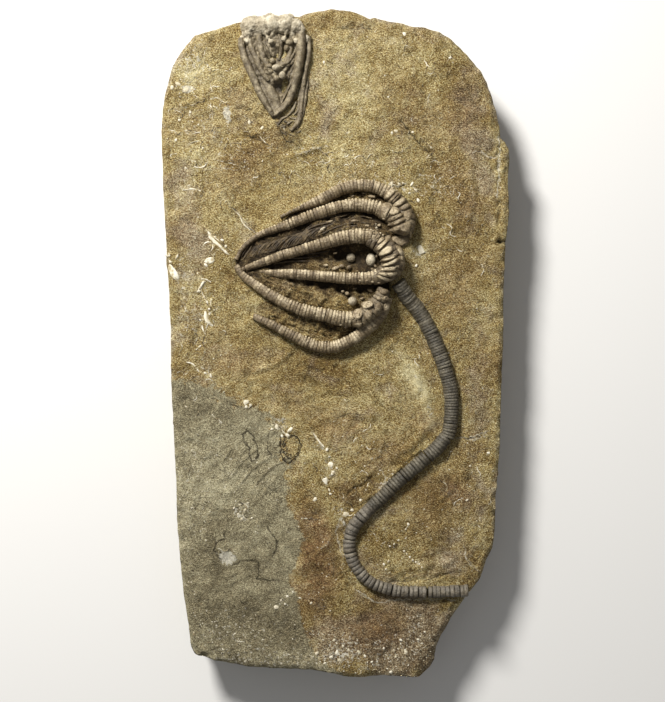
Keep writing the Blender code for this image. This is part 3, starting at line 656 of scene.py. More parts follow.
def drawn(side, near, width):
    """A fine wandering line where a painted distance passes zero."""
    off = sums(tree, "ABSOLUTE", sums(tree, "MULTIPLY_ADD", wobble, 2.2, painted(tree, side)), 0)
    line = sums(tree, "SUBTRACT", 1.0, between(tree, off, width * 0.5, width * 1.6))
    return sums(tree, "MULTIPLY", line, painted(tree, near))


veins = drawn("vein_side", "vein_near", 0.18)
cracks = drawn("crack_side", "crack_near", 0.19)
veins = sums(tree, "MULTIPLY", veins, between(tree, grit, 0.36, 0.5))
colour = blend(tree, veins, colour, (0.76, 0.71, 0.56))
colour = blend(tree, cracks, colour, (0.025, 0.017, 0.009))
# Near black, for the grime and for the painted shade carried on the same value.
colour = blend(tree, painted(tree, "grime_and_shade"), colour, (0.035, 0.024, 0.012))
tree.links.new(colour, shader.inputs["Base Color"])
relief = bumps(tree, mottle, 1.2)
relief = bumps(tree, blotch, 0.9, relief)
relief = bumps(tree, grit, 0.9, relief)
relief = bumps(tree, dust, 0.5, relief)
relief = bumps(tree, sums(tree, "SUBTRACT", 1.0, sums(tree, "MAXIMUM", hair, cracks)), 0.3, relief)
tree.links.new(relief, shader.inputs["Normal"])
shader.inputs["Roughness"].default_value = 0.9
shader.inputs["Specular IOR Level"].default_value = 0.3
slab.data.materials.append(siltstone)
bpy.ops.object.shade_smooth()
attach(slab, "root")
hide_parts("slab")

# ------------------------------------------------------------------- mud that fills the crown
# The same siltstone, still packed between the arms of the large crown. It was picked out with
# needles, so it is rough and crumbly, high beside the lower arms and dug deep in the middle.

# Levels over the sea floor are (x, y, height, darkness); the darkness is painted shade, deepest in
# the hollows and under the arms.
FILL_LEVELS = [
    (-3.1, 41.4, -0.3, 0.6), (1.3, 43.8, -1, 0.7), (7.3, 45.6, -1.2, 0.7), (5.8, 44.1, 0.3, 0.2),
    (10.3, 44.1, 0.3, 0.2), (13.7, 42.9, 0, 0.5), (-28.6, 26.4, -0.2, 0.8),
    (-25.6, 27.9, -0.2, 0.8), (-21.1, 29.4, -0.2, 0.75), (-16.6, 30.9, -0.2, 0.75),
    (-12.2, 33.3, -0.3, 0.75), (-10.7, 35.4, -0.8, 0.8), (-4.6, 38.7, -1, 0.7),
    (2.9, 39.3, -1.2, 0.75), (10.3, 37.8, -1.2, 0.75), (-4.6, 35.1, 0.4, 0.7),
    (1.3, 36.6, 0.1, 0.7), (5.8, 35.4, 0.6, 0.55), (10.3, 34.8, 0.3, 0.5), (-7.6, 32.1, 0.4, 0.85),
    (-0.1, 32.7, 0.8, 0.6), (13.3, 33.9, -0.5, 0.6), (15.8, 31.8, -0.4, 0.6),
    (-24.1, 23.1, -0.5, 0.85), (-18.1, 24.3, -1, 0.9), (-10.7, 25.5, -1.2, 0.9),
    (-4.6, 25.5, -0.9, 0.75), (-2.2, 24.3, -0.6, 0.55), (1.3, 26.4, -2.9, 0.9),
    (5, 24.3, -3.1, 0.8), (8.8, 25.8, -3.1, 0.75), (11.2, 23.1, -2.4, 0.75), (1.6, 22.2, -0.2, 0.4),
    (4.3, 22.2, -0.8, 0.5), (12.8, 24.3, -2.6, 0.75), (-10.7, 23.7, -0.2, 0.5),
    (-6.1, 23.1, -0.1, 0.4), (-15.1, 24.3, -0.8, 0.8), (-24.1, 21, 0.4, 0.7),
    (-21.1, 19.8, 0.8, 0.5), (-16.6, 18.6, 0.9, 0.3), (-13, 17.1, 0.9, 0.2),
    (-9.2, 15.6, 0.9, 0.15), (-4.6, 13.8, 0.9, 0.1), (1.3, 12.6, 0.8, 0), (-12.2, 18.6, -0.4, 0.8),
    (-7.6, 17.7, -0.9, 0.95), (-3.1, 17.1, -1.3, 1), (1.3, 16.5, -1.8, 1), (7.3, 16.2, -2.1, 1),
    (13.3, 16.5, -2.2, 1), (16.9, 16.5, -2, 1), (-1.1, 15.3, -0.6, 0.5), (-7, 16.2, -0.2, 0.4),
    (4.3, 15.3, -1.4, 0.8), (2.9, 11.1, 1.1, 0), (9.2, 14.1, -0.5, 0.35), (5.5, 15, -0.6, 0.3),
    (11.8, 14.4, -0.4, 0.4), (-23.2, 9.9, 0.4, 0.3), (-19.6, 8.4, 0.9, 0.2), (-15.1, 6.3, 1, 0.15),
    (-10.7, 4.2, 1, 0.15), (-4.6, 2.7, 1, 0.2), (-0.1, 2.1, 0.8, 0.2), (4.3, 1.8, 0.2, 0.4),
    (-19.6, 10.8, 0, 0.4), (-10.7, 8.1, 0.2, 0.4), (-1.6, 5.1, 0.1, 0.4), (7.3, 3.9, -0.4, 0.5),
    (12.8, 6.3, -0.6, 0.6),
]


def spread(spots, marks, soft):
    """Height and darkness at each spot, from marks (x, y, height, darkness) near it."""
    weight, level, shadow = np.zeros((3, len(spots)))
    for x, y, lift, dark in marks:
        near = 1 / (soft + (spots[:, 0] - x) ** 2 + (spots[:, 1] - y) ** 2) ** 2
        weight += near
        level += near * lift
        shadow += near * dark
    return level / weight, shadow / weight


fill = cut_sheet("crown_mud", CROWN_RING, 190, 184)
pull_down([0.5, 1.0])
spots, depth = plan_of(fill)
level, shadow = spread(spots, FILL_LEVELS, 0.35)
# The needles left streaks along the arms, and picked out wandering grooves.
along_x, along_y, stretch = 0.89, 0.45, 0.5
streaks = np.column_stack([
    stretch * (along_x * spots[:, 0] - along_y * spots[:, 1]),
    along_y * spots[:, 0] + along_x * spots[:, 1]])
crumbly = 0.4 * grain(spots, 2.6, 12.5) + 0.5 * grain(streaks, 1.0, 14.2)
crumbly += 0.55 * grain(streaks, 0.55, 15.8)
level += crumbly * np.clip(0.75 + 0.35 * level, 0.2, 1)
groove_width, groove_depth = 0.09, 0.3
from_groove = np.abs(grain(spots, 2.4, 41.3) + 0.15 * grain(spots, 0.8, 4.3))
picked = ease(1 - from_groove / groove_width) * ease(3 * grain(spots, 4, 8.3) + 0.6)
level -= groove_depth * picked
fill_thickness = 3.5
set_places(fill, np.column_stack([spots, swelling(spots) + level - fill_thickness * depth]) * MM)
# The paleness, rust and grime values carry painted shade from the darkness and between the crumbs,
# and painted light on the high crumbs; the mud is also darker in the picked grooves.
for name, values in {
        "grey_stone": -4.0,
        "pale": -0.03 - 0.12 * shadow + 0.12 * crumbly,
        "rust_and_shade": 0.25 + 0.9 * shadow,
        "drab": 0.1,
        "chalk": 0.0,
        "grime_and_shade": np.clip(1.25 * shadow - 0.12 + 0.4 * picked - 0.6 * crumbly, 0, 0.97),
        "crack_side": 0.0, "crack_near": 0.0, "vein_side": 0.0, "vein_near": 0.0}.items():
    paint(fill, name, values + np.zeros(len(spots)))
fill.data.materials.append(siltstone)
bpy.ops.object.shade_smooth()
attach(fill, "root")

# --------------------------------------------------------------------------------- the stem
# The large crinoid's stem: hundreds of coin-shaped columnals of calcite, stacked on the line
# that the living stem lay down in. Those near the crown are thin and dark, and those towards
# the root are thicker and paler. It lies half in the stone.

# Routes are (x, y, radius), from the crown outwards.
STEM_NEAR = [
    (18.6, 18, 2.3), (20.8, 14.6, 2.3), (25.1, 9.3, 2.3), (28.4, 3.3, 2.3), (31, -2.7, 2.25),
    (33.2, -9, 2.25), (34.6, -15, 2.2), (34.7, -21, 2.2), (34.1, -26.2, 2.2), (33.4, -28.4, 2.15),
]
STEM_MIDDLE = [
    (33, -28.2, 2.1), (30.6, -31.2, 2.2), (25.1, -36, 2.2), (19.6, -40.6, 2.1), (14.8, -45.2, 2.05),
    (10.6, -49.2, 2),
]
STEM_FAR = [
    (11, -48.8, 1.95), (7.6, -52.2, 1.95), (5.2, -55.6, 1.95), (4.1, -60.2, 1.9),
    (5.8, -66.4, 1.85), (10, -71.2, 1.85), (16.3, -73.8, 1.82), (25.3, -74.6, 1.82),
    (33, -74.5, 1.8), (39.4, -74.2, 1.8),
]


def shape_drum(name, sides, thickness, profile):
    """A coin-shaped ossicle on the X axis. Its radius is 1, for the row's line to scale.

    The profile gives the radius at shares of the thickness.
    """
    drum = begin(
        name, bpy.ops.mesh.primitive_circle_add, vertices=sides, radius=profile[0][1],
        fill_type="NGON", rotation=(0, math.pi / 2, 0))
    bpy.ops.object.transform_apply(location=False, rotation=True, scale=False)
    bpy.ops.object.mode_set(mode="EDIT")
    bpy.ops.mesh.select_all(action="SELECT")
    for (start, before), (end, after) in zip(profile, profile[1:]):
        step = {"value": ((end - start) * thickness * MM, 0, 0)}
        bpy.ops.mesh.extrude_region_move(TRANSFORM_OT_translate=step)
        bpy.ops.transform.resize(value=(1, after / before, after / before))
    bpy.ops.mesh.select_all(action="SELECT")
    bpy.ops.mesh.normals_make_consistent(inside=False)
    bpy.ops.object.mode_set(mode="OBJECT")
    radii = [vert.co.yz.length for vert in drum.data.vertices]
    low, high = min(radii), max(radii)
    paint(drum, "crest", [(radius - low) / (high - low) for radius in radii])
    return drum


def empty_line(name):
    """A curve object with nothing drawn on it yet."""
    line = begin(name, bpy.ops.curve.primitive_bezier_curve_add)
    line.data.splines.clear()
    return line


def draw_line(line, knots):
    """Draws one smooth line through knots (x, y, z, radius), all but the radius in millimetres."""
    spline = line.data.splines.new("BEZIER")
    spline.bezier_points.add(len(knots) - 1)
    for knot, (x, y, z, radius) in zip(spline.bezier_points, knots):
        knot.co = (x * MM, y * MM, z * MM)
        knot.radius = radius
        knot.handle_left_type = knot.handle_right_type = "AUTO"
    return spline


def finish_with(piece, kind, **settings):
    """Adds one modifier to a piece and applies it."""
    bpy.context.view_layer.objects.active = piece
    step = piece.modifiers.new("step", kind)
    for name, value in settings.items():
        setattr(step, name, value)
    bpy.ops.object.modifier_apply(modifier="step")


def thread(name, drum, route, lift, pitch, seed, bold=None, keel=0.0, slip=1.0):
    """Copies of a drum threaded on a smooth line that lies on the stone, each a little unlike.

    The bold marks (x, y, share) say how strongly the drums stand out near each place, the keel is
    the height of a blunt ridge along the row, as a share of its radius, and also sets a painted
    highlight along the ridge's upper side, and the slip says how far the drums are out of line.
    """
    line = empty_line("line")
    floor = swelling(np.array(route)[:, :2])
    spline = draw_line(line, [
        (x, y, level + lift * radius, radius * MM) for (x, y, radius), level in zip(route, floor)])
    line.data.twist_mode = "Z_UP"
    line.data.resolution_u = 16
    bpy.context.view_layer.update()
    count = max(2, round(spline.calc_length() / MM / pitch))
    row = drum.copy()
    row.data = drum.data.copy()
    row.name = name
    bpy.context.collection.objects.link(row)
    bpy.ops.object.select_all(action="DESELECT")
    row.select_set(True)
    finish_with(
        row, "ARRAY", use_relative_offset=False, use_constant_offset=True,
        constant_offset_displace=(pitch * MM, 0, 0), count=count)
    size = len(drum.data.vertices)
    chance = np.random.default_rng(seed)
    # Where the row is worn, its drums are drawn towards one smooth rod.
    run = np.array(route)[:, :2]
    along = np.concatenate([[0], np.cumsum(np.linalg.norm(run[1:] - run[:-1], axis=1))])
    centre = (np.arange(count) + 0.5) / count * along[-1]
    strength = np.ones(count)
    if bold:
        marks = np.array(bold)
        at = [along[np.linalg.norm(run - mark, axis=1).argmin()] for mark in marks[:, :2]]
        order = np.argsort(at)
        strength = np.interp(centre, np.array(at)[order], marks[order, 2])
    strength = strength[:, None] * (1 + slip * chance.normal(0, 0.3, (count, 1)))
    drums = places_of(row).reshape(count, size, 3)
    across = np.hypot(drums[:, :, 1], drums[:, :, 2])
    scale = (1 - (1 - across) * strength) / across
    scale *= 1 + slip * chance.normal(0, 0.02, (count, 1))
    leaning = np.clip((0.8 * drums[:, :, 2] - 0.6 * drums[:, :, 1]) / across, 0, 1) ** 8
    scale *= 1 + keel * (leaning - 0.4)
    drums[:, :, 1:] *= scale[:, :, None]
    drums[:, :, 0] += slip * chance.normal(0, 0.06 * pitch * MM, (count, 1))
    drums[:, :, 1] += slip * chance.normal(0, 0.022, (count, 1))
    drums[:, :, 2] += slip * chance.normal(0, 0.022, (count, 1))
    set_places(row, drums)
    crest = np.empty(count * size, np.float32)
    row.data.attributes["crest"].data.foreach_get("value", crest)
    # The keel adds a painted highlight on the upper side of the ridge.
    crest = 1 - (1 - crest.reshape(count, size)) * np.clip(strength, 0, 1) + 0.8 * keel * leaning
    paint(row, "crest", crest)
    girth = np.array(route)[:, 2]
    tips = 1.3 * (1 - np.interp(centre, along, girth) / girth.max())
    tone = min(slip, 1) * chance.uniform(-0.5, 0.5, count)
    paint(row, "shade", np.repeat(0.5 - tips + tone, size))
    finish_with(row, "CURVE", object=line)
    bpy.data.objects.remove(line, do_unlink=True)
    bpy.ops.object.shade_smooth()
    return row


def weather(piece, size, depth):
    """Roughens a piece with a cloud texture, as if etched."""
    texture = bpy.data.textures.new(piece.name, "CLOUDS")
    texture.noise_scale = size * MM
    texture.noise_depth = 2
    finish_with(
        piece, "DISPLACE", texture=texture, texture_coords="LOCAL", strength=depth * MM,
        mid_level=0.5)


def fuse(name, pieces):
    """Joins objects into one piece."""
    bpy.ops.object.select_all(action="DESELECT")
    for piece in pieces:
        piece.select_set(True)
    bpy.context.view_layer.objects.active = pieces[0]
    bpy.ops.object.join()
    pieces[0].name = name
    return pieces[0]


def fossil_finish(name, dark, mid, light, seam_and_shade, stain=0.35):
    """Fossil calcite: darker in its seams and in the painted shade that low crest values carry,
    mottled and stained by the mud, with a satin grain and a painted highlight where the crest is
    above 1.
    """
    mid_tone = 1.76
    finish, tree, shader, place = new_finish(name)
    mottle = speckle(tree, place, 2.4, 4, 0.65)
    grit = speckle(tree, place, 0.55, 3, 0.75)
    value = sums(tree, "MULTIPLY_ADD", mottle, 0.9, sums(tree, "MULTIPLY", grit, 1.0))
    value = sums(tree, "SUBTRACT", value, mid_tone)
    value = sums(tree, "MULTIPLY_ADD", painted(tree, "shade"), 0.22, value)
    # Crest values above 1 are a painted highlight.
    painted_highlight = sums(tree, "MAXIMUM", painted(tree, "crest"), 1.0)
    value = sums(tree, "MULTIPLY_ADD", painted_highlight, 1.2, value)
    colour = shades(tree, value, [(0.18, dark), (0.5, mid), (0.82, light)])
    mud = between(tree, speckle(tree, place, 3.2, 4, 0.7, 0.6), 0.5, 0.66)
    colour = blend(tree, sums(tree, "MULTIPLY", mud, stain), colour, (0.24, 0.175, 0.08))
    # Low crest values blend to the seam colour: dark joints, and painted shade on undersides and in
    # hollows.
    colour = blend(tree, sums(tree, "POWER", painted(tree, "crest"), 0.55), seam_and_shade, colour)
    tree.links.new(colour, shader.inputs["Base Color"])
    tree.links.new(bumps(tree, grit, 0.35, bumps(tree, mottle, 0.35)), shader.inputs["Normal"])
    shader.inputs["Roughness"].default_value = 0.43
    shader.inputs["Specular IOR Level"].default_value = 0.45
    return finish


dark_calcite = fossil_finish(
    "dark_calcite", (0.035, 0.029, 0.02), (0.088, 0.076, 0.053), (0.2, 0.175, 0.125),
    (0.022, 0.018, 0.012), 0.12)
grey_calcite = fossil_finish(
    "grey_calcite", (0.058, 0.048, 0.034), (0.138, 0.119, 0.09), (0.3, 0.265, 0.205),
    (0.02, 0.016, 0.01), 0.2)

# The thickness of one columnal in each part of the stem, and how far its line is off the stone.
NEAR_PITCH, MIDDLE_PITCH, FAR_PITCH = 0.85, 1.02, 1.36
STEM_LIFT = 0.35
SUTURE = [(0, 0.9), (0.25, 1), (0.75, 1), (1, 0.9)]
WIDE_SUTURE = [(0, 0.88), (0.2, 1), (0.8, 1), (1, 0.88)]
near_columnal = shape_drum("near_columnal", 18, NEAR_PITCH, SUTURE)
near_columnal.data.materials.append(dark_calcite)
middle_columnal = shape_drum("middle_columnal", 18, MIDDLE_PITCH, SUTURE)
middle_columnal.data.materials.append(dark_calcite)
far_columnal = shape_drum("far_columnal", 18, FAR_PITCH, WIDE_SUTURE)
far_columnal.data.materials.append(grey_calcite)
stem = fuse("stem_columnals", [
    thread("stem_near", near_columnal, STEM_NEAR, STEM_LIFT, NEAR_PITCH, 1,
           bold=[(18.6, 18, 0.15), (28.4, 3.3, 0.3), (33.2, -9, 0.5), (34.1, -26.2, 0.6)]),
    thread("stem_middle", middle_columnal, STEM_MIDDLE, STEM_LIFT, MIDDLE_PITCH, 2,
           bold=[(33, -28.2, 0.6), (25.1, -36, 0.9), (10.6, -49.2, 1)]),
    thread("stem_far", far_columnal, STEM_FAR, STEM_LIFT, FAR_PITCH, 3, slip=1.4),
])
weather(stem, 1.1, 0.24)
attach(stem, "root")
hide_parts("stem")

# ------------------------------------------------------------------------- arms of the crown
# Six of the large crown's arms show. Each is a row of wedge-shaped brachials with a round
# back, and little sockets on both sides, where the side branches were. Their tips are worn.

ARMS = {
    "arm_1": [(17.2, 43.8, 2.1), (14.6, 45.5, 2), (10.3, 46.9, 1.9), (6.8, 47.1, 1.85),
        (2.9, 46.3, 1.85), (-0.1, 45, 1.85), (-3.3, 43.3, 1.75), (-6.2, 41.9, 1.5),
        (-8.6, 40.9, 1.2), (-10.4, 40.3, 0.8), (-13.4, 39.1, 0.55), (-16.6, 37.6, 0.45)],
    "arm_2": [(14, 39.4, 2.25), (12.8, 40, 2.2), (8.8, 40.9, 2.05), (4.3, 41, 1.95),
        (-0.1, 40.2, 1.9), (-4.6, 38.8, 1.8), (-9.2, 37.1, 1.7), (-13.7, 35.4, 1.5),
        (-18.1, 33.9, 1.25), (-22.3, 32.5, 1), (-25.4, 30.6, 0.8), (-28.2, 27.8, 0.7),
        (-29.8, 24.8, 0.7)],
    "arm_3": [(12.4, 30.4, 2.45), (11.2, 31.1, 2.4), (7.9, 31.6, 2.3), (4.3, 31.5, 2.2),
        (0.8, 30.8, 2.05), (-3.1, 29.6, 1.9), (-7.6, 28.3, 1.7), (-12.2, 27, 1.6),
        (-16.6, 25.7, 1.5), (-21.1, 24.2, 1.35), (-25.4, 22.8, 1.05), (-27.6, 22, 0.75)],
    "arm_4": [(12.4, 19.6, 2.1), (9.8, 19.1, 2), (5, 19, 1.8), (0.8, 19.3, 1.75), (-4, 19.7, 1.7),
        (-8.8, 20.1, 1.7), (-13, 20.4, 1.6), (-16.9, 20.6, 1.35), (-20, 20.9, 0.9),
        (-22.4, 21.2, 0.5)],
    "arm_5": [(4.6, 6.9, 2.5), (3.6, 7, 2.5), (0.8, 7.3, 2.3), (-3.1, 8.2, 2.1), (-7.6, 9.1, 2),
        (-11.5, 10.3, 1.9), (-15.1, 11.9, 1.8), (-18.8, 14, 1.75), (-22.1, 16.1, 1.6),
        (-25.6, 18.5, 1.4), (-28.2, 20.7, 1.15), (-29.8, 23.2, 0.9)],
    "arm_6": [(15.2, 13.6, 1.9), (14.2, 10.2, 2.1), (12, 6.9, 2.1), (9.1, 4.1, 2.1), (6.2, 1.8, 2),
        (2.9, 0, 1.9), (-0.1, -1.1, 1.85), (-3.1, -1.3, 1.8), (-6.1, -0.8, 1.75), (-9.2, 0.4, 1.75),
        (-12.2, 1.9, 1.65), (-15.1, 3.4, 1.5), (-18.1, 5, 1.4), (-21.1, 6.5, 1.3),
        (-24.2, 7.9, 1.05)],
}
# How strongly the brachials stand out along each arm, and how high its ridge is, which also sets
# the painted highlight along that ridge.
ARM_MARKS = {
    "arm_1": ([(17.2, 43.8, 0.7), (6.8, 47.1, 0.55), (-3.3, 43.3, 0.9), (-16.6, 37.6, 1.6)], 0.12),
    "arm_2": ([(14, 39.4, 0.6), (4.3, 41, 0.45), (-9.2, 37.1, 0.7), (-18.1, 33.9, 0.9),
        (-25.4, 30.6, 0.3)], 0.14),
    "arm_3": ([(12.4, 30.4, 0.5), (0.8, 30.8, 0.4), (-7.6, 28.3, 0.3), (-27.6, 22, 0.25)], 0.14),
    "arm_4": ([(12.4, 19.6, 0.8), (5, 19, 0.6), (0.8, 19.3, 0.25), (-22.4, 21.2, 0.12)], 0.24),
    "arm_5": ([(4.6, 6.9, 0.7), (-7.6, 9.1, 0.55), (-15.1, 11.9, 0.35), (-18.8, 14, 0.18)], 0.22),
    "arm_6": ([(15.2, 13.6, 0.12), (9.1, 4.1, 0.2), (2.9, 0, 0.6), (-9.2, 0.4, 0.7),
        (-15.1, 3.4, 0.3), (-24.2, 7.9, 0.15)], 0.14),
}
ARM_PITCH = 0.96
ARM_LIFT = 0.55

warm_calcite = fossil_finish(
    "calcite", (0.075, 0.052, 0.027), (0.206, 0.153, 0.088), (0.59, 0.492, 0.322),
    (0.058, 0.04, 0.02))

brachial = shape_drum("brachial", 16, ARM_PITCH, [(0, 0.92), (0.17, 1.0), (0.83, 1.0), (1, 0.92)])
drum_size = len(brachial.data.vertices)
# The socket on its side is a small round swelling, with a painted highlight that makes it paler
# than the drum.
bpy.ops.object.mode_set(mode="EDIT")
bpy.ops.mesh.select_all(action="DESELECT")
bpy.ops.mesh.primitive_uv_sphere_add(
    segments=6, ring_count=4, radius=1, location=(0.5 * ARM_PITCH * MM, -0.8, 0.5))
bpy.ops.transform.resize(value=(0.36 * ARM_PITCH * MM, 0.24, 0.26))
bpy.ops.object.mode_set(mode="OBJECT")
crest = brachial.data.attributes["crest"]
for vert in brachial.data.vertices[drum_size:]:
    crest.data[vert.index].value = 1.3
brachial.data.materials.append(warm_calcite)

arms = {}
for number, (name, route) in enumerate(ARMS.items(), 1):
    bold, keel = ARM_MARKS[name]
    arm = thread(f"{name}_brachials", brachial, route, ARM_LIFT, ARM_PITCH, 10 + number, bold, keel)
    weather(arm, 0.9, 0.22)
    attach(arm, "root")
    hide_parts(name)
    arms[name] = arm

# ------------------------------------------------------------------------ cup of the crown
# Where each pair of arms forks, its brachials swell into wedges that fan round the fork, and
# below them the cup's own plates overlap like slates. One plate has lifted like a tongue.

# Lobes are (name, pitch, lift, route).
LOBES = [
    ("upper_lobe", 1.5, 0.5, [(15.6, 44.8, 2.1), (18.6, 42.2, 2.5), (20.6, 38.8, 2.8),
        (20.8, 35.4, 3), (19.6, 32, 2.8)]),
    ("upper_fork", 1.3, 0.6, [(13.4, 39.4, 2.3), (16, 38.4, 2.6), (18.4, 36.6, 2.8),
        (19.6, 34, 2.8)]),
    ("middle_lobe", 1.35, 0.45, [(9.8, 31, 2.3), (12.8, 29.4, 2.7), (15.9, 26.9, 3.4),
        (16.9, 24.3, 3.8), (16.2, 21.8, 3.4), (13.6, 20, 2.7), (10.5, 19.4, 2.1)]),
    ("lower_lobe", 1.3, 0.5, [(4.9, 7, 2.5), (7.9, 7.4, 2.8), (10.6, 9.6, 2.8), (12.9, 12.4, 2.5),
        (14.3, 15.8, 2)]),
]
# A darker copy of the calcite, as painted shade on the lobes that lie under and between the cup's
# plates.
shaded_calcite = fossil_finish(
    "shaded_calcite", (0.06, 0.042, 0.023), (0.15, 0.113, 0.066), (0.34, 0.28, 0.18),
    (0.03, 0.02, 0.011))
WEDGE = [(0, 0.9), (0.2, 0.98), (0.5, 1), (0.8, 0.98), (1, 0.9)]
lobes = []
for number, (name, pitch, lift, route) in enumerate(LOBES):
    wedge = shape_drum("wedge", 24, pitch, WEDGE)
    wedge.data.materials.append(shaded_calcite)
    bold = [(x, y, 0.55) for x, y, _ in route]
    lobes.append(thread(name, wedge, route, lift, pitch, 30 + number, bold))
    bpy.data.objects.remove(wedge, do_unlink=True)


def top_finder(pieces):
    """Finds the highest surface of some pieces over any place, or the sea floor beside them."""
    shapes = bpy.context.evaluated_depsgraph_get()
    trees = [BVHTree.FromObject(piece, shapes) for piece in pieces]
    down = Vector((0, 0, -1))
    sunk = 0.4

    def find(x, y):
        hits = [tree.ray_cast(Vector((x * MM, y * MM, 0.1)), down)[0] for tree in trees]
        tops = [hit.z / MM for hit in hits if hit]
        return max(tops + [swelling(np.array([[x, y]]))[0] - sunk])

    return find


def lay_plate(name, outline, rise, find, finish, seed=0, highlight_strength=1.06):
    """A pillow-shaped plate with the given outline, draped on the surface below it."""
    made = begin(
        name, bpy.ops.mesh.primitive_circle_add, vertices=len(outline), radius=1, fill_type="NGON")
    for vert, (x, y) in zip(made.data.vertices, outline):
        vert.co = (x * MM, y * MM, 0)
    bpy.ops.object.mode_set(mode="EDIT")
    bpy.ops.mesh.select_all(action="SELECT")
    shares = [(1.0, 0.0), (1.03, 0.35), (0.98, 0.68), (0.86, 0.9), (0.66, 0.98), (0.36, 1.0)]
    for (wide, low), (next_wide, high) in zip(shares, shares[1:]):
        step = {"value": (0, 0, (high - low) * MM)}
        bpy.ops.mesh.extrude_region_move(TRANSFORM_OT_translate=step)
        bpy.ops.transform.resize(value=(next_wide / wide, next_wide / wide, 1))
    bpy.ops.mesh.poke()
    bpy.ops.mesh.select_all(action="SELECT")
    bpy.ops.mesh.normals_make_consistent(inside=False)
    bpy.ops.object.mode_set(mode="OBJECT")
    finish_with(made, "SUBSURF", levels=1, render_levels=1)
    rooted, most_drape = 0.7, 1.2
    places = places_of(made)
    lift = places[:, 2] / MM
    floor = np.array([find(x / MM, y / MM) for x, y, _ in places])
    floor = np.maximum(floor, np.median(floor) - most_drape)
    places[:, 2] = (floor - rooted + lift * (rise + rooted)) * MM
    set_places(made, places)
    # The plate's top gets a painted highlight, scaled by the highlight strength.
    paint(made, "crest", np.clip(lift, 0, 1) ** 1.5 * highlight_strength)
    paint(made, "shade", np.full(len(lift), random.Random(seed).random()))
    made.data.materials.append(finish)
    bpy.ops.object.shade_smooth()
    return made


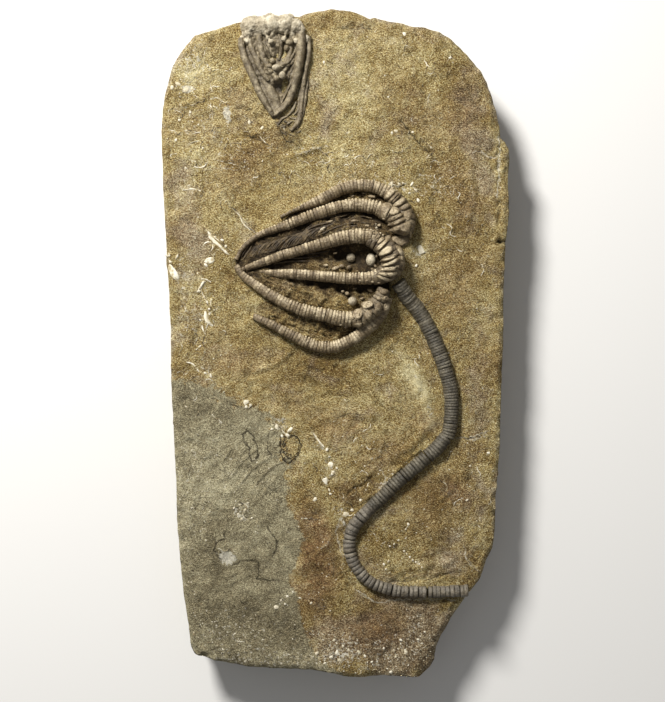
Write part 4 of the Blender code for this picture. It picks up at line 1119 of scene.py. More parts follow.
# Plates are (rise, outline).
CUP_PLATES = [
    (0.68, [(14.2, 43.2), (15.1, 42.3), (16.6, 43.5), (17.8, 45), (18.1, 45.9), (17.2, 46.5),
        (16.1, 45.6), (14.8, 44.4)]),
    (0.88, [(15.4, 41.7), (16.3, 41.1), (17.8, 42), (19.3, 43.5), (19.9, 44.7), (19.1, 45.3),
        (17.8, 44.4), (16.3, 42.9)]),
    (0.88, [(16.6, 40.5), (18.1, 40.2), (19.9, 41.1), (21.1, 42.3), (21.1, 43.2), (20.2, 43.8),
        (19.1, 42.6), (17.6, 41.7)]),
    (0.68, [(18.8, 39.6), (19.9, 39), (21.8, 39.9), (22.6, 40.8), (22.1, 41.7), (20.8, 41.4),
        (19.3, 40.5)]),
    (0.47, [(19.9, 38.7), (21.4, 39.6), (22.6, 39.9), (22.9, 38.1), (22.3, 36.3), (21.1, 36),
        (20.2, 37.2)]),
    (0.68, [(13.9, 41.7), (15.8, 42), (17.2, 41.1), (16.9, 39.6), (16.1, 38.1), (15.4, 36.6),
        (13.9, 36.3), (13.3, 37.8), (13.3, 39.9)]),
    (0.81, [(16.6, 40.8), (18.1, 40.5), (19.3, 39.6), (19.1, 38.4), (17.6, 37.8), (16.1, 37.5),
        (15.8, 38.7), (16.3, 39.9)]),
    (0.81, [(15.8, 36.9), (17.2, 37.5), (18.8, 38.1), (19.9, 39), (20.6, 38.1), (19.3, 37.2),
        (17.8, 36.3), (16.1, 35.7), (15.1, 36.3)]),
    (0.74, [(15.8, 35.4), (17.6, 36), (19.3, 36.9), (20.6, 37.5), (21.1, 36.6), (19.9, 35.7),
        (18.1, 34.8), (16.3, 34.5), (15.1, 34.8)]),
    (0.68, [(15.1, 33.6), (16.9, 33.9), (18.8, 34.8), (20.6, 35.7), (22.3, 36), (22.6, 34.2),
        (22.1, 32.4), (20.8, 31.5), (19.1, 32.1), (16.9, 32.7)]),
    (1.4, [(16.3, 31.2), (17.6, 32.1), (19.3, 32.1), (21.1, 31.8), (22.3, 30.9), (22.1, 29.7),
        (20.8, 29.4), (20.2, 28.5), (18.8, 28.8), (17.2, 29.7)]),
    (0.54, [(14.5, 31.5), (15.8, 32.1), (16.6, 31.5), (16.3, 30), (15.1, 29.4), (14.2, 30.3)]),
    (0.41, [(22.1, 33.6), (22.6, 34.2), (22.9, 32.1), (22.3, 30.6), (21.8, 31.2)]),
    (0.61, [(11.5, 27.6), (12.8, 28.8), (14.2, 30.3), (15.4, 30.9), (15.8, 30), (14.5, 28.8),
        (13, 27.3), (12.2, 26.7)]),
    (0.61, [(11.8, 30), (13, 31.2), (14.5, 31.5), (14.8, 30.6), (13.3, 29.4), (12.2, 28.5)]),
    (1.2, [(12.4, 26.1), (13.7, 27.3), (14.8, 28.2), (16.1, 28.8), (16.9, 28.2), (16.9, 27),
        (16.1, 26.1), (14.5, 25.8), (13, 25.2)]),
    (0.94, [(12.8, 24.3), (14.8, 24.9), (16.6, 25.5), (17.6, 26.4), (18.4, 25.8), (17.6, 24.9),
        (15.8, 24), (13.7, 23.7)]),
    (0.94, [(13, 22.8), (15.4, 23.4), (17.2, 24.3), (18.4, 25.2), (19.1, 24.6), (18.1, 23.4),
        (15.8, 22.5), (13.7, 22.2)]),
    (0.61, [(12.4, 21.9), (14.5, 22.2), (16.9, 22.2), (19.1, 23.1), (19.1, 21.9), (17.2, 21),
        (15.1, 21), (13, 21)]),
    (0.61, [(12.4, 20.7), (14.2, 20.7), (16.6, 20.4), (18.4, 21), (18.1, 19.8), (16.3, 19.2),
        (14.2, 19.5), (12.4, 20.1)]),
    (0.54, [(11.8, 20.1), (13.7, 19.5), (15.8, 18.6), (17.2, 18.9), (16.3, 18), (14.5, 18),
        (12.4, 18.9)]),
    (0.41, [(17.8, 29.1), (19.1, 28.8), (20.2, 27.3), (20.6, 25.2), (19.9, 23.4), (19.3, 24.3),
        (18.8, 26.4), (17.6, 27.9)]),
    (1.1, [(7.6, 12), (9.2, 12.6), (10.9, 12.3), (11.5, 11.1), (10.3, 10.2), (8.5, 9.9),
        (7.6, 10.8)]),
    (0.74, [(5, 9.3), (6.5, 10.5), (7.9, 9.9), (8.2, 8.4), (7.3, 6.9), (6.1, 6.6), (5, 7.8)]),
    (0.68, [(8.5, 9.3), (10, 9.9), (11.2, 9.3), (10.9, 7.2), (9.4, 6.3), (8.2, 7.2)]),
    (0.68, [(11.5, 11.4), (13, 12), (13.9, 10.5), (13.7, 8.1), (12.2, 7.2), (11.2, 9)]),
    (0.61, [(14.2, 11.4), (15.4, 12.6), (16.3, 11.7), (16.1, 9.9), (14.8, 8.4), (14.2, 9.9)]),
    (0.94, [(13.9, 13.5), (15.1, 14.1), (16.1, 13.2), (15.4, 12.3), (13.9, 12.3)]),
    (0.68, [(12.8, 15.6), (14.5, 16.2), (15.8, 15.6), (15.8, 14.4), (14.5, 14.1), (13, 14.4)]),
    (0.54, [(11.5, 13.5), (13, 13.8), (13.7, 13.2), (13.3, 12.3), (11.8, 12.3)]),
    (0.68, [(5.2, 6), (6.8, 5.7), (8.5, 6.3), (9.2, 5.4), (7.6, 4.5), (5.8, 4.5)]),
]
# The middle ray's plates get a stronger painted highlight than the rest.
STRONG_HIGHLIGHT = range(13, 22)
find_top = top_finder(lobes + list(arms.values()))
plates = [
    lay_plate(
        f"cup_plate_{number}", outline, rise, find_top, warm_calcite, number,
        highlight_strength=1.25 if number in STRONG_HIGHLIGHT else 1.06)
    for number, (rise, outline) in enumerate(CUP_PLATES)]


def lay_knob(name, x, y, length, width, turn, sink, find, finish, seed=0):
    """One round knob or ossicle, set partly into the surface below it."""
    made = begin(name, bpy.ops.mesh.primitive_uv_sphere_add, segments=16, ring_count=10, radius=0.5)
    high = min(length, width)
    bpy.ops.transform.resize(value=(length * MM, width * MM, high * MM))
    bpy.ops.object.transform_apply(location=False, rotation=False, scale=True)
    made.rotation_euler = (0, 0, math.radians(turn))
    made.location = (x * MM, y * MM, (find(x, y) + (0.5 - sink) * high) * MM)
    bpy.ops.object.transform_apply(location=True, rotation=True, scale=False)
    levels = places_of(made)[:, 2] / MM
    paint(made, "crest", np.clip(0.2 + (levels - levels.min()) / high, 0, 1))
    paint(made, "shade", np.full(len(levels), random.Random(seed).random()))
    made.data.materials.append(finish)
    bpy.ops.object.shade_smooth()
    return made


def lay_knobs(stem, knobs, sink, find, finish, others=None):
    """Knobs (x, y, length, width, turn), all of one finish but for the numbered others."""
    return [
        lay_knob(f"{stem}_{number}", *knob, sink, find, (others or {}).get(number, finish), number)
        for number, knob in enumerate(knobs)]


# Small knobs, set half into the plates and the arms.
CUP_KNOBS = [
    (14.5, 36.9, 1.1, 1, 0), (12.8, 32.1, 0.8, 0.7, 0), (11.2, 33, 0.8, 0.7, 0),
    (9.8, 33.3, 0.8, 0.7, 0), (8.5, 33.3, 0.7, 0.6, 0), (13.7, 30.9, 0.8, 0.7, 0),
    (14.2, 32.1, 0.7, 0.6, 0), (12.2, 30.9, 0.7, 0.6, 30), (6.8, 33.6, 0.7, 0.6, 0),
    (5.2, 33.6, 0.7, 0.6, 0), (12.4, 33.6, 0.9, 0.6, 0), (3.4, 14.7, 1.3, 1.2, 0),
    (2.2, 15.3, 0.9, 0.7, 0), (11.2, 32.1, 0.7, 0.5, 0), (10, 12.9, 0.9, 0.7, 10),
    (11.5, 13.2, 0.7, 0.6, 0), (12.2, 25.8, 0.9, 0.6, 60), (11.8, 22.8, 1.2, 0.8, -40),
    (10.9, 21.9, 1, 0.7, -20), (9.2, 18.3, 0.9, 0.7, 0), (10.9, 18, 0.9, 0.7, 0),
    (12.8, 17.7, 1.2, 0.8, 0), (7.3, 18.3, 0.8, 0.6, 0), (15.1, 11.1, 0.9, 0.7, 0),
    (5.2, 7.5, 1.2, 0.9, 80), (3.1, 4.8, 1.4, 1, 10), (4.6, 5.1, 1, 0.9, 0), (1.6, 5.4, 1, 0.8, 0),
    (6.8, 8.7, 1.2, 0.9, 60), (18.4, 45.6, 1.1, 0.8, 40),
]
knobs = lay_knobs("cup_knob", CUP_KNOBS, 0.5, find_top, warm_calcite)
cup = fuse("cup_plates", lobes + plates + knobs)
weather(cup, 1.4, 0.2)
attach(cup, "root")
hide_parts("cup")

# ---------------------------------------------------------------------- ossicles in the crown
# Round beads of calcite that dropped loose into the hollows of the crown before the mud covered
# it. They were cleaned with needles and now stand half out of the mud.

pale_calcite = fossil_finish(
    "pale_calcite", (0.22, 0.18, 0.12), (0.42, 0.36, 0.25), (0.72, 0.65, 0.5),
    (0.12, 0.09, 0.052), 0.2)
# Ossicles are (x, y, radius, stretch along y).
OSSICLES = [
    (4.6, 25.5, 1.4, 1), (10.6, 24.8, 1.5, 1.35), (5, 12.4, 1.35, 1), (11.4, 35.3, 1.05, 0.9),
]
for number, (x, y, radius, stretch) in enumerate(OSSICLES, 1):
    level = bedding(np.array([[x, y]]))[0] + 0.45 * radius
    ossicle = lay_knob(
        f"ossicle_{number}_bead", x, y, 2 * radius, 2 * radius * stretch, 0, 0.5,
        lambda x, y: level, pale_calcite, number)
    weather(ossicle, 0.8, 0.15)
    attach(ossicle, "root")
    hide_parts(f"ossicle_{number}")

# ------------------------------------------------------------------------ pinnules of the crown
# Fine side branches that fill the gap between the second and third arms, like a wet brush,
# with broken ends of others further in.

umber = fossil_finish(
    "umber_calcite", (0.018, 0.011, 0.005), (0.047, 0.03, 0.013), (0.16, 0.112, 0.052),
    (0.02, 0.014, 0.008), 0.3)


def lay_strands(name, routes, find, over, finish):
    """Tapered branches (radius, points) draped over the surface below, with a painted highlight
    where they face up and painted shade beneath.

    A point is (x, y), or (x, y, radius) where the branch swells.
    """
    strands = empty_line(name)
    for radius, route in routes:
        knots = []
        for number, (x, y, *swell) in enumerate(route):
            end = number in (0, len(route) - 1)
            wide = swell[0] if swell else 0.5 * radius if end else radius
            knots.append((x, y, find(x, y) + over * wide, wide))
        draw_line(strands, knots)
    alone = len(routes) == 1
    strands.data.resolution_u = 8 if alone else 4
    strands.data.bevel_depth = MM
    strands.data.bevel_resolution = 6 if alone else 1
    strands.data.use_fill_caps = True
    bpy.ops.object.convert(target="MESH")
    strands = bpy.context.active_object
    spots = places_of(strands)[:, :2] / MM
    normals = np.empty(3 * len(spots))
    strands.data.vertex_normals.foreach_get("vector", normals)
    # Painted light on the upward faces, painted shade on the undersides.
    paint(strands, "crest", np.clip(0.3 + 0.78 * normals[2::3], 0, 1.08))
    paint(strands, "shade", np.clip(0.5 + 1.4 * grain(spots, 1.2, 3.3), 0, 1))
    strands.data.materials.append(finish)
    bpy.ops.object.shade_smooth()
    return strands


# Strays beside the brush.
STRAYS = [
    [(-28.3, 25.5), (-27.4, 27.3), (-26.2, 29.1), (-25.6, 30.6)],
    [(-27.8, 24.9), (-26.6, 26.7), (-25.3, 28.8), (-24.8, 30.3)],
    [(-28.9, 26.1), (-28.3, 27.9), (-27.1, 29.7)],
    [(-10.7, 32.1), (-7.6, 34.2), (-4, 35.4), (-0.1, 36)],
    [(-9.8, 31.2), (-6.1, 33), (-2.9, 34.5), (-0.4, 35.7)],
    [(-8.8, 33.9), (-5.2, 36.6), (-1.6, 38.1), (2.9, 39.3)],
    [(-5.2, 31.8), (-1.6, 33.6), (1.3, 34.8), (5, 35.7), (10.3, 35.7)],
    [(-1.1, 32.1), (2.5, 34.2), (6.1, 34.8), (10.9, 34.2)],
    [(-7, 35.4), (-3.4, 37.2), (0.8, 38.1), (5, 38.7)],
    [(2.9, 36.6), (5, 38.1), (6.8, 39.3)],
    [(4.3, 37.2), (7.9, 37.8), (10.9, 37.2)],
    [(0.1, 37.2), (3.1, 38.1), (4.3, 38.7)],
    [(-11.8, 31.5), (-8.8, 33.3), (-6.5, 35.1)],
    [(-20.2, 24.3), (-15.1, 25.2), (-10.7, 25.2), (-5.2, 25.8)],
    [(-18.1, 23.7), (-13, 24.3), (-7.6, 24.3)],
    [(-10.7, 26.4), (-6.1, 26.7), (-2.2, 27.3)],
    [(-0.1, 43.8), (3.1, 44.7), (6.8, 45)],
    [(5, 43.8), (8.5, 44.4), (12.2, 43.5)],
]
find_fill = top_finder([fill])
chance = random.Random(5)
BRUSH_COUNT = 44
brush = []
for number in range(BRUSH_COUNT):
    share = number / (BRUSH_COUNT - 1)
    x, y = -25.9 + 17.5 * share, 25.6 + 4.4 * share
    reach, climb = 2.4 + 3.6 * share, 3.4 + 1.6 * share
    wave = chance.uniform(-0.35, 0.35)
    brush.append((chance.uniform(0.14, 0.3), [
        (x + chance.uniform(-0.3, 0.3), y), (x + 0.35 * reach + wave, y + 0.5 * climb),
        (x + 0.75 * reach + wave, y + 0.85 * climb), (x + 1.1 * reach, y + 1.05 * climb)]))
brush += [(chance.uniform(0.2, 0.34), line) for line in STRAYS]
pinnules = lay_strands("pinnules", brush, find_fill, 0.4, umber)
weather(pinnules, 0.7, 0.3)
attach(pinnules, "root")

# Broken bits of arm in the mud between the arms are (x, y, length, width, turn).
BROKEN = [
    (-3.8, 33.9, 2, 1, 32), (-4.6, 33, 1.4, 0.8, 40), (0.1, 22.2, 2.2, 1.2, 10),
    (1.9, 22.8, 2, 1.2, -10), (4, 22.5, 1.6, 1.2, 30), (12.2, 34.2, 0.9, 0.9, 0),
    (-2.2, 36, 3, 0.7, 15), (5.8, 36.3, 2.4, 0.8, 0), (8.8, 45, 2, 0.9, 5),
    (10.9, 43.8, 2.4, 1, -10), (5, 44.1, 1.6, 0.8, 10), (-0.1, 26.7, 1.2, 0.6, 20),
    (10.3, 15.6, 1.6, 0.8, -20), (7.9, 13.2, 1.4, 0.8, 10), (5.8, 16.2, 1.2, 0.6, 0),
    (-2.9, 23.1, 1.4, 0.8, 0), (9.4, 34.8, 1.6, 0.9, -10), (13, 35.1, 1.2, 1, 20),
]
broken = fuse("broken_ossicles", lay_knobs(
    "bit", BROKEN, 0.35, find_fill, warm_calcite, {0: pale_calcite, 5: pale_calcite}))
weather(broken, 0.8, 0.35)
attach(broken, "root")

# ------------------------------------------------------------------------- the small crown
# Another crinoid's head at the top rim, crushed flat in the mud: a lumpy cap of knobbed
# plates, a sunken middle, and smooth folded arms that close to a point below it.

small_calcite = fossil_finish(
    "small_calcite", (0.066, 0.049, 0.027), (0.15, 0.117, 0.069), (0.365, 0.305, 0.196),
    (0.032, 0.022, 0.012), 0.3)
SMALL_RING = [
    (-28.6, 88.8), (-28.1, 90.9), (-25.6, 92.1), (-18.1, 93.3), (-10.7, 92.7), (-8.5, 90.9),
    (-8.2, 87.9), (-9.2, 83.1), (-10, 78.3), (-11.5, 74.4), (-13.3, 70.8), (-15.4, 69),
    (-18.8, 67.2), (-20.2, 69.3), (-22.1, 72.9), (-24.1, 76.5), (-26.2, 81.3), (-28.1, 85.5),
    (-28.6, 88.8),
]
# Levels over the sea floor are (x, y, height, darkness); the darkness is painted shade in the
# sunken middle.
CRUSHED = [
    (-27.1, 87.9, 0.5, 0.2), (-25.6, 89.4, 0.9, 0.1), (-23.6, 86.4, 0.3, 0.3),
    (-22.1, 87.9, 0.9, 0.2), (-22.1, 84.3, 0.5, 0.3), (-19.6, 87.9, 0.8, 0.3),
    (-17.8, 89.4, 1, 0.1), (-18.1, 86.4, 0.1, 0.6), (-19.1, 84.3, -0.5, 0.9),
    (-15.8, 86.4, -0.6, 0.85), (-13.9, 89.1, 0.2, 0.6), (-12.2, 89.7, 0.8, 0.2),
    (-13.7, 84.9, 0.6, 0.3), (-11.5, 84.9, 0.9, 0.1), (-20.2, 81.9, 0.9, 0.2),
    (-17.8, 81.6, 1.3, 0), (-16.3, 79.5, 1.2, 0), (-14.2, 81.3, 0.4, 0.4), (-23.2, 81.3, 0.3, 0.5),
    (-21.4, 78.9, 0.1, 0.6), (-19.6, 78.3, 0.5, 0.5), (-16.6, 76.2, -1, 0.95),
    (-15.1, 77.7, -0.9, 0.9), (-17.8, 74.1, -0.2, 0.6), (-22.1, 75.3, 0.8, 0.1),
    (-20.2, 72.9, 0.8, 0.05), (-18.4, 70.5, 0.7, 0.05), (-15.1, 72.9, 0.1, 0.4),
    (-13, 77.4, 0.9, 0.15), (-11.8, 81.3, 0.9, 0.1), (-13.3, 74.4, 0.9, 0.2),
    (-15.8, 70.2, 0.8, 0.1),
]
crushed = cut_sheet("crushed_plates", SMALL_RING, 84, 108)
pull_down([0.5, 1.0])
spots, depth = plan_of(crushed)
level, shadow = spread(spots, CRUSHED, 0.3)
crumbly = 0.7 * grain(spots, 1.9, 52.5) + 0.5 * grain(spots, 0.9, 54.2)
smooth_part = patches(spots, [(-20.4, 73.5, 4, 7, 20, 1.0)])
level = level + crumbly * np.clip(1 - smooth_part, 0.15, 1)
crushed_thickness, edge_width, edge_drop = 2.5, 1.4, 0.5
edge = ease(away_from(spots, SMALL_RING) / edge_width)
height = swelling(spots) + level * edge - crushed_thickness * depth - edge_drop * (1 - edge)
set_places(crushed, np.column_stack([spots, height]) * MM)
# Painted shade where the darkness is high, and painted light on the raised lumps.
paint(crushed, "crest", np.clip(1 - 0.95 * shadow + 0.5 * crumbly, 0, 1))
paint(crushed, "shade", np.clip(0.5 + crumbly, 0, 1))
crushed.data.materials.append(small_calcite)
bpy.ops.object.shade_smooth()
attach(crushed, "root")

# The folded arms, and how high each lies as a share of its radius.
SMALL_ARMS = {
    "small_arm_1": [(-28.2, 91, 1), (-27.7, 87.2, 1.1), (-26, 82.6, 1.15), (-24, 78, 1.15),
        (-21.9, 73.6, 1.1), (-19.4, 69.2, 0.8), (-18.7, 67.9, 0.5)],
    "small_arm_2": [(-26, 92.6, 0.95), (-24.9, 87.6, 0.95), (-23.4, 84.2, 0.95), (-21.9, 81.2, 0.9),
        (-20, 78.4, 0.7)],
    "small_arm_3": [(-22.8, 92, 1.05), (-22.1, 87.2, 1.05), (-20.9, 84, 1.05), (-19.5, 81.4, 0.95),
        (-17.7, 79.4, 0.8)],
    "small_arm_4": [(-13, 93, 0.9), (-13.6, 87, 0.9), (-14.4, 83.4, 0.85), (-15.6, 80.4, 0.6)],
    "small_arm_5": [(-10.4, 92.4, 1.5), (-10.4, 87, 1.5), (-11, 83, 1.4), (-11.8, 79, 1.3),
        (-12.9, 75.2, 1.2), (-14.6, 71.6, 1.1), (-17.4, 68.9, 0.8), (-18.6, 68, 0.4)],
    "small_arm_6": [(-8, 91.6, 0.8), (-8.1, 86.5, 0.8), (-8.9, 82, 0.8), (-9.6, 77.4, 0.8),
        (-10, 73.2, 0.8), (-10.5, 69.4, 0.8), (-11.4, 66, 0.75), (-13.4, 63.6, 0.5)],
    "small_arm_7": [(-21.8, 79, 1), (-20, 76, 1.8), (-18.4, 73.2, 2), (-17, 70.6, 1.4)],
}
SMALL_LIFT = [0.7, 0.5, 0.45, 0.2, 0.55, 0.4, -0.4]


def find_sea_floor(x, y):
    """Height of the sea floor at one place."""
    return swelling(np.array([[x, y]]))[0]


for lift, (name, route) in zip(SMALL_LIFT, SMALL_ARMS.items()):
    arm = lay_strands(f"{name}_band", [(1, route)], find_sea_floor, lift, small_calcite)
    weather(arm, 2.2, 0.5)
    weather(arm, 0.6, 0.12)
    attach(arm, "root")
    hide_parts(name)


def shade_by_relief(piece, passes, reach):
    """Paints a painted highlight on crests and painted shade in hollows, from how far each point
    stands off its neighbours.
    """
    places = places_of(piece)
    count = len(places)
    edges = np.empty(len(piece.data.edges) * 2, np.int64)
    piece.data.edges.foreach_get("vertices", edges)
    edges = edges.reshape(-1, 2)
    degree = np.bincount(edges.ravel(), minlength=count)[:, None] + 1e-9
    smooth = places.copy()
    for _ in range(passes):
        total = np.zeros_like(smooth)
        np.add.at(total, edges[:, 0], smooth[edges[:, 1]])
        np.add.at(total, edges[:, 1], smooth[edges[:, 0]])
        smooth = total / degree
    normals = np.empty(count * 3)
    piece.data.vertex_normals.foreach_get("vector", normals)
    stand = ((places - smooth) * normals.reshape(-1, 3)).sum(1) / (reach * MM)
    paint(piece, "crest", np.clip(0.62 + stand, 0, 1))
    paint(piece, "shade", np.clip(0.5 + 1.2 * grain(places[:, :2] / MM, 1.7, 6.6), 0, 1))


# Knobs of the cap, and the broad lumps that they sit on, are (x, y, length, width, turn).
CAP_KNOBS = [
    (-25.9, 96.6, 2.2, 2, 0), (-24.4, 96.9, 2.6, 2.4, 20), (-22.6, 96, 3, 2.8, 0),
    (-21.1, 96.9, 2.4, 2.4, 0), (-19.6, 97.5, 3.2, 2.6, 0), (-19.1, 95.4, 3.2, 3, 0),
    (-16.9, 96.3, 2.8, 2.8, 0), (-15.1, 97.2, 2.8, 2.6, 0), (-13.7, 97.5, 2.8, 2.4, 0),
    (-13, 96, 2.2, 2, 0), (-26.8, 95.1, 2.6, 2.6, 0), (-25.1, 94.5, 3.4, 3.2, 0),
    (-22.9, 94.2, 3.4, 3.2, 0), (-20.8, 95.1, 3, 2.8, 0), (-15.4, 95.1, 3, 2.8, 0),
    (-11.2, 95.1, 2.6, 2.2, 30), (-10.3, 93.6, 2.8, 2.6, 0), (-26.2, 90.3, 2.2, 2.4, 0),
    (-25.9, 92.4, 3, 3.4, 0), (-23.6, 92.1, 2.4, 2.2, 0), (-20.6, 92.7, 2.8, 2.4, 30),
    (-17.8, 93.9, 2.4, 2.4, 0), (-14.8, 93.9, 3.2, 3, 0), (-13.9, 92.7, 1.3, 1.2, 0),
    (-12.2, 94.2, 1.8, 1.7, 0), (-10.3, 92.1, 3, 2.6, 0), (-19.3, 89.7, 1.7, 1.6, 0),
    (-15.4, 90.6, 2, 1.8, 30), (-11.8, 90, 1.6, 2, 0), (-14.8, 92.4, 1.4, 1.4, 0),
    (-20.2, 90.9, 1.4, 1.4, 0), (-27.8, 90.9, 1.8, 2.6, 0), (-8.8, 90.9, 1.8, 2.6, 0),
    (-22.1, 93, 2.4, 2.2, 0), (-12.8, 92.4, 2, 2, 0), (-16.9, 94.8, 2.4, 2, 0),
    (-18.8, 92.4, 2, 2, 0), (-13, 95.1, 2.2, 2, 0), (-23.8, 95.7, 2.6, 2.2, 0),
    (-27.1, 93, 2, 2.4, 0),
]
CAP_LUMPS = [
    (-25.1, 94.8, 7, 6, 0), (-22.1, 94.8, 7, 6, 0), (-18.8, 95.1, 7, 6, 0), (-15.4, 95.1, 7, 6, 0),
    (-12.4, 94.5, 6, 5, 0),
]
BIG_KNOB = 1.9
find_bed = top_finder([slab, crushed])
cap = fuse("small_cup_knobs", [
    lay_knob(
        f"cap_knob_{number}", *knob, 0.3 if knob[3] > BIG_KNOB else 0.05, find_bed,
        pale_calcite, number)
    for number, knob in enumerate(CAP_KNOBS)
] + lay_knobs("cap_base", CAP_LUMPS, 0.5, find_bed, pale_calcite))
finish_with(cap, "REMESH", mode="VOXEL", voxel_size=0.24 * MM)
weather(cap, 1.3, 0.55)
weather(cap, 0.5, 0.22)
shade_by_relief(cap, 7, 0.16)
bpy.ops.object.shade_smooth()
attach(cap, "root")
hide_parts("small_cup")

# Loose round plates in the sunken middle, and the bright ones beside it.
find_crushed = top_finder([crushed])
LOOSE = [
    (-13.7, 89.7, 2.4, 2.2, 0), (-14.5, 87.9, 2, 2, 0), (-18.8, 84.3, 1.9, 1.9, 0),
    (-17.6, 81.9, 2.8, 1.9, 10), (-15.8, 79.8, 2.2, 2.4, 0), (-17.6, 78.9, 2.2, 1.9, 20),
    (-20.6, 84, 1.7, 1.9, 20), (-19.6, 82.5, 1.8, 1.6, 0), (-21.4, 85.8, 1.3, 2.6, 10),
    (-19.3, 81, 1.6, 1.4, 0), (-12.8, 84, 1, 2.6, -35), (-13.9, 83.1, 1, 2.4, -40),
    (-11.5, 87.3, 1, 1.8, -20), (-15.4, 83.1, 1.6, 1, 20), (-22.1, 82.5, 1.2, 1.6, 0),
    (-23.2, 84.9, 1.2, 2.2, 10),
]
loose = fuse("loose_plates", lay_knobs(
    "loose", LOOSE, 0.35, find_crushed, small_calcite, {3: pale_calcite, 4: pale_calcite}))
weather(loose, 1.0, 0.4)
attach(loose, "root")

# Thin strands between the folded arms, and the tangle of broken ones below their point.
SMALL_STRANDS = [
    (0.62, [(-16.9, 92.1), (-16.3, 89.7), (-16.3, 87.3), (-16.9, 84.6)]),
    (0.5, [(-21.4, 89.7), (-20.2, 87.3), (-19.6, 84.9)]),
    (0.45, [(-23.6, 89.4), (-22.6, 87), (-21.4, 84.9)]),
    (0.5, [(-11.8, 87.9), (-12.8, 85.5), (-14.2, 83.7), (-16.1, 82.2)]),
    (0.4, [(-10.7, 86.4), (-11.8, 83.7), (-13.3, 81.3), (-14.2, 78.9)]),
    (0.45, [(-12.4, 79.5), (-13.9, 76.5), (-15.4, 73.8), (-16.3, 71.7)]),
    (0.4, [(-11.2, 80.1), (-12.2, 77.7), (-13.7, 75.3)]),
    (0.55, [(-9.4, 80.1), (-10.3, 76.5), (-10.9, 72.9), (-11.2, 69.9), (-12.4, 68.4)]),
    (0.5, [(-8.2, 78.9), (-8.8, 75.3), (-9.4, 71.1), (-10, 68.1), (-11.5, 65.1), (-13.3, 63.6)]),
    (0.6, [(-11.8, 72.3), (-12.8, 69.9), (-14.5, 68.1)]),
    (0.5, [(-10.9, 68.1), (-12.2, 66.3)]),
    (0.55, [(-13, 66.6), (-14.5, 65.7)]),
    (0.5, [(-14.2, 68.1), (-16.1, 67.2), (-17.2, 65.7)]),
    (0.45, [(-15.4, 66.6), (-13.7, 66)]),
    (0.5, [(-11.8, 67.2), (-13.7, 67.5)]),
    (0.45, [(-16.6, 64.8), (-15.1, 65.1)]),
    (0.5, [(-13.9, 64.2), (-12.2, 64.8)]),
    (0.45, [(-16.1, 63.3), (-14.8, 62.4)]),
    (0.4, [(-13.9, 62.7), (-12.4, 62.1)]),
    (0.35, [(-14.8, 60.6), (-13.3, 60.3)]),
    (0.3, [(-16.6, 65.1), (-16.1, 63.3)]),
    (0.3, [(-17.8, 66.3), (-16.9, 64.8)]),
    (0.3, [(-11.5, 63), (-10.3, 63.9)]),
    (0.45, [(-10.7, 66.3), (-11.5, 64.2)]),
]
tangle = lay_strands("small_strands", SMALL_STRANDS, find_bed, 0.35, small_calcite)
weather(tangle, 0.8, 0.6)
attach(tangle, "root")

# ------------------------------------------------------------------------- scattered fossils
# Crumbs of shell, threads of lace-like bryozoan and strings of tiny ossicles lie all over the
# face, each sunk a little in the stone.

shell, tree, shader, place = new_finish("shell")
grit = speckle(tree, place, 0.5, 3, 0.7)
value = sums(tree, "MULTIPLY_ADD", grit, 0.5, -0.3)
value = sums(tree, "MULTIPLY_ADD", painted(tree, "shade"), 1.0, value)
colour = shades(tree, value, [
    (0.08, (0.05, 0.036, 0.02)), (0.22, (0.26, 0.195, 0.1)), (0.55, (0.47, 0.4, 0.25)),
    (0.95, (0.76, 0.71, 0.57)),
])
tree.links.new(colour, shader.inputs["Base Color"])
tree.links.new(bumps(tree, grit, 0.2), shader.inputs["Normal"])
shader.inputs["Roughness"].default_value = 0.75

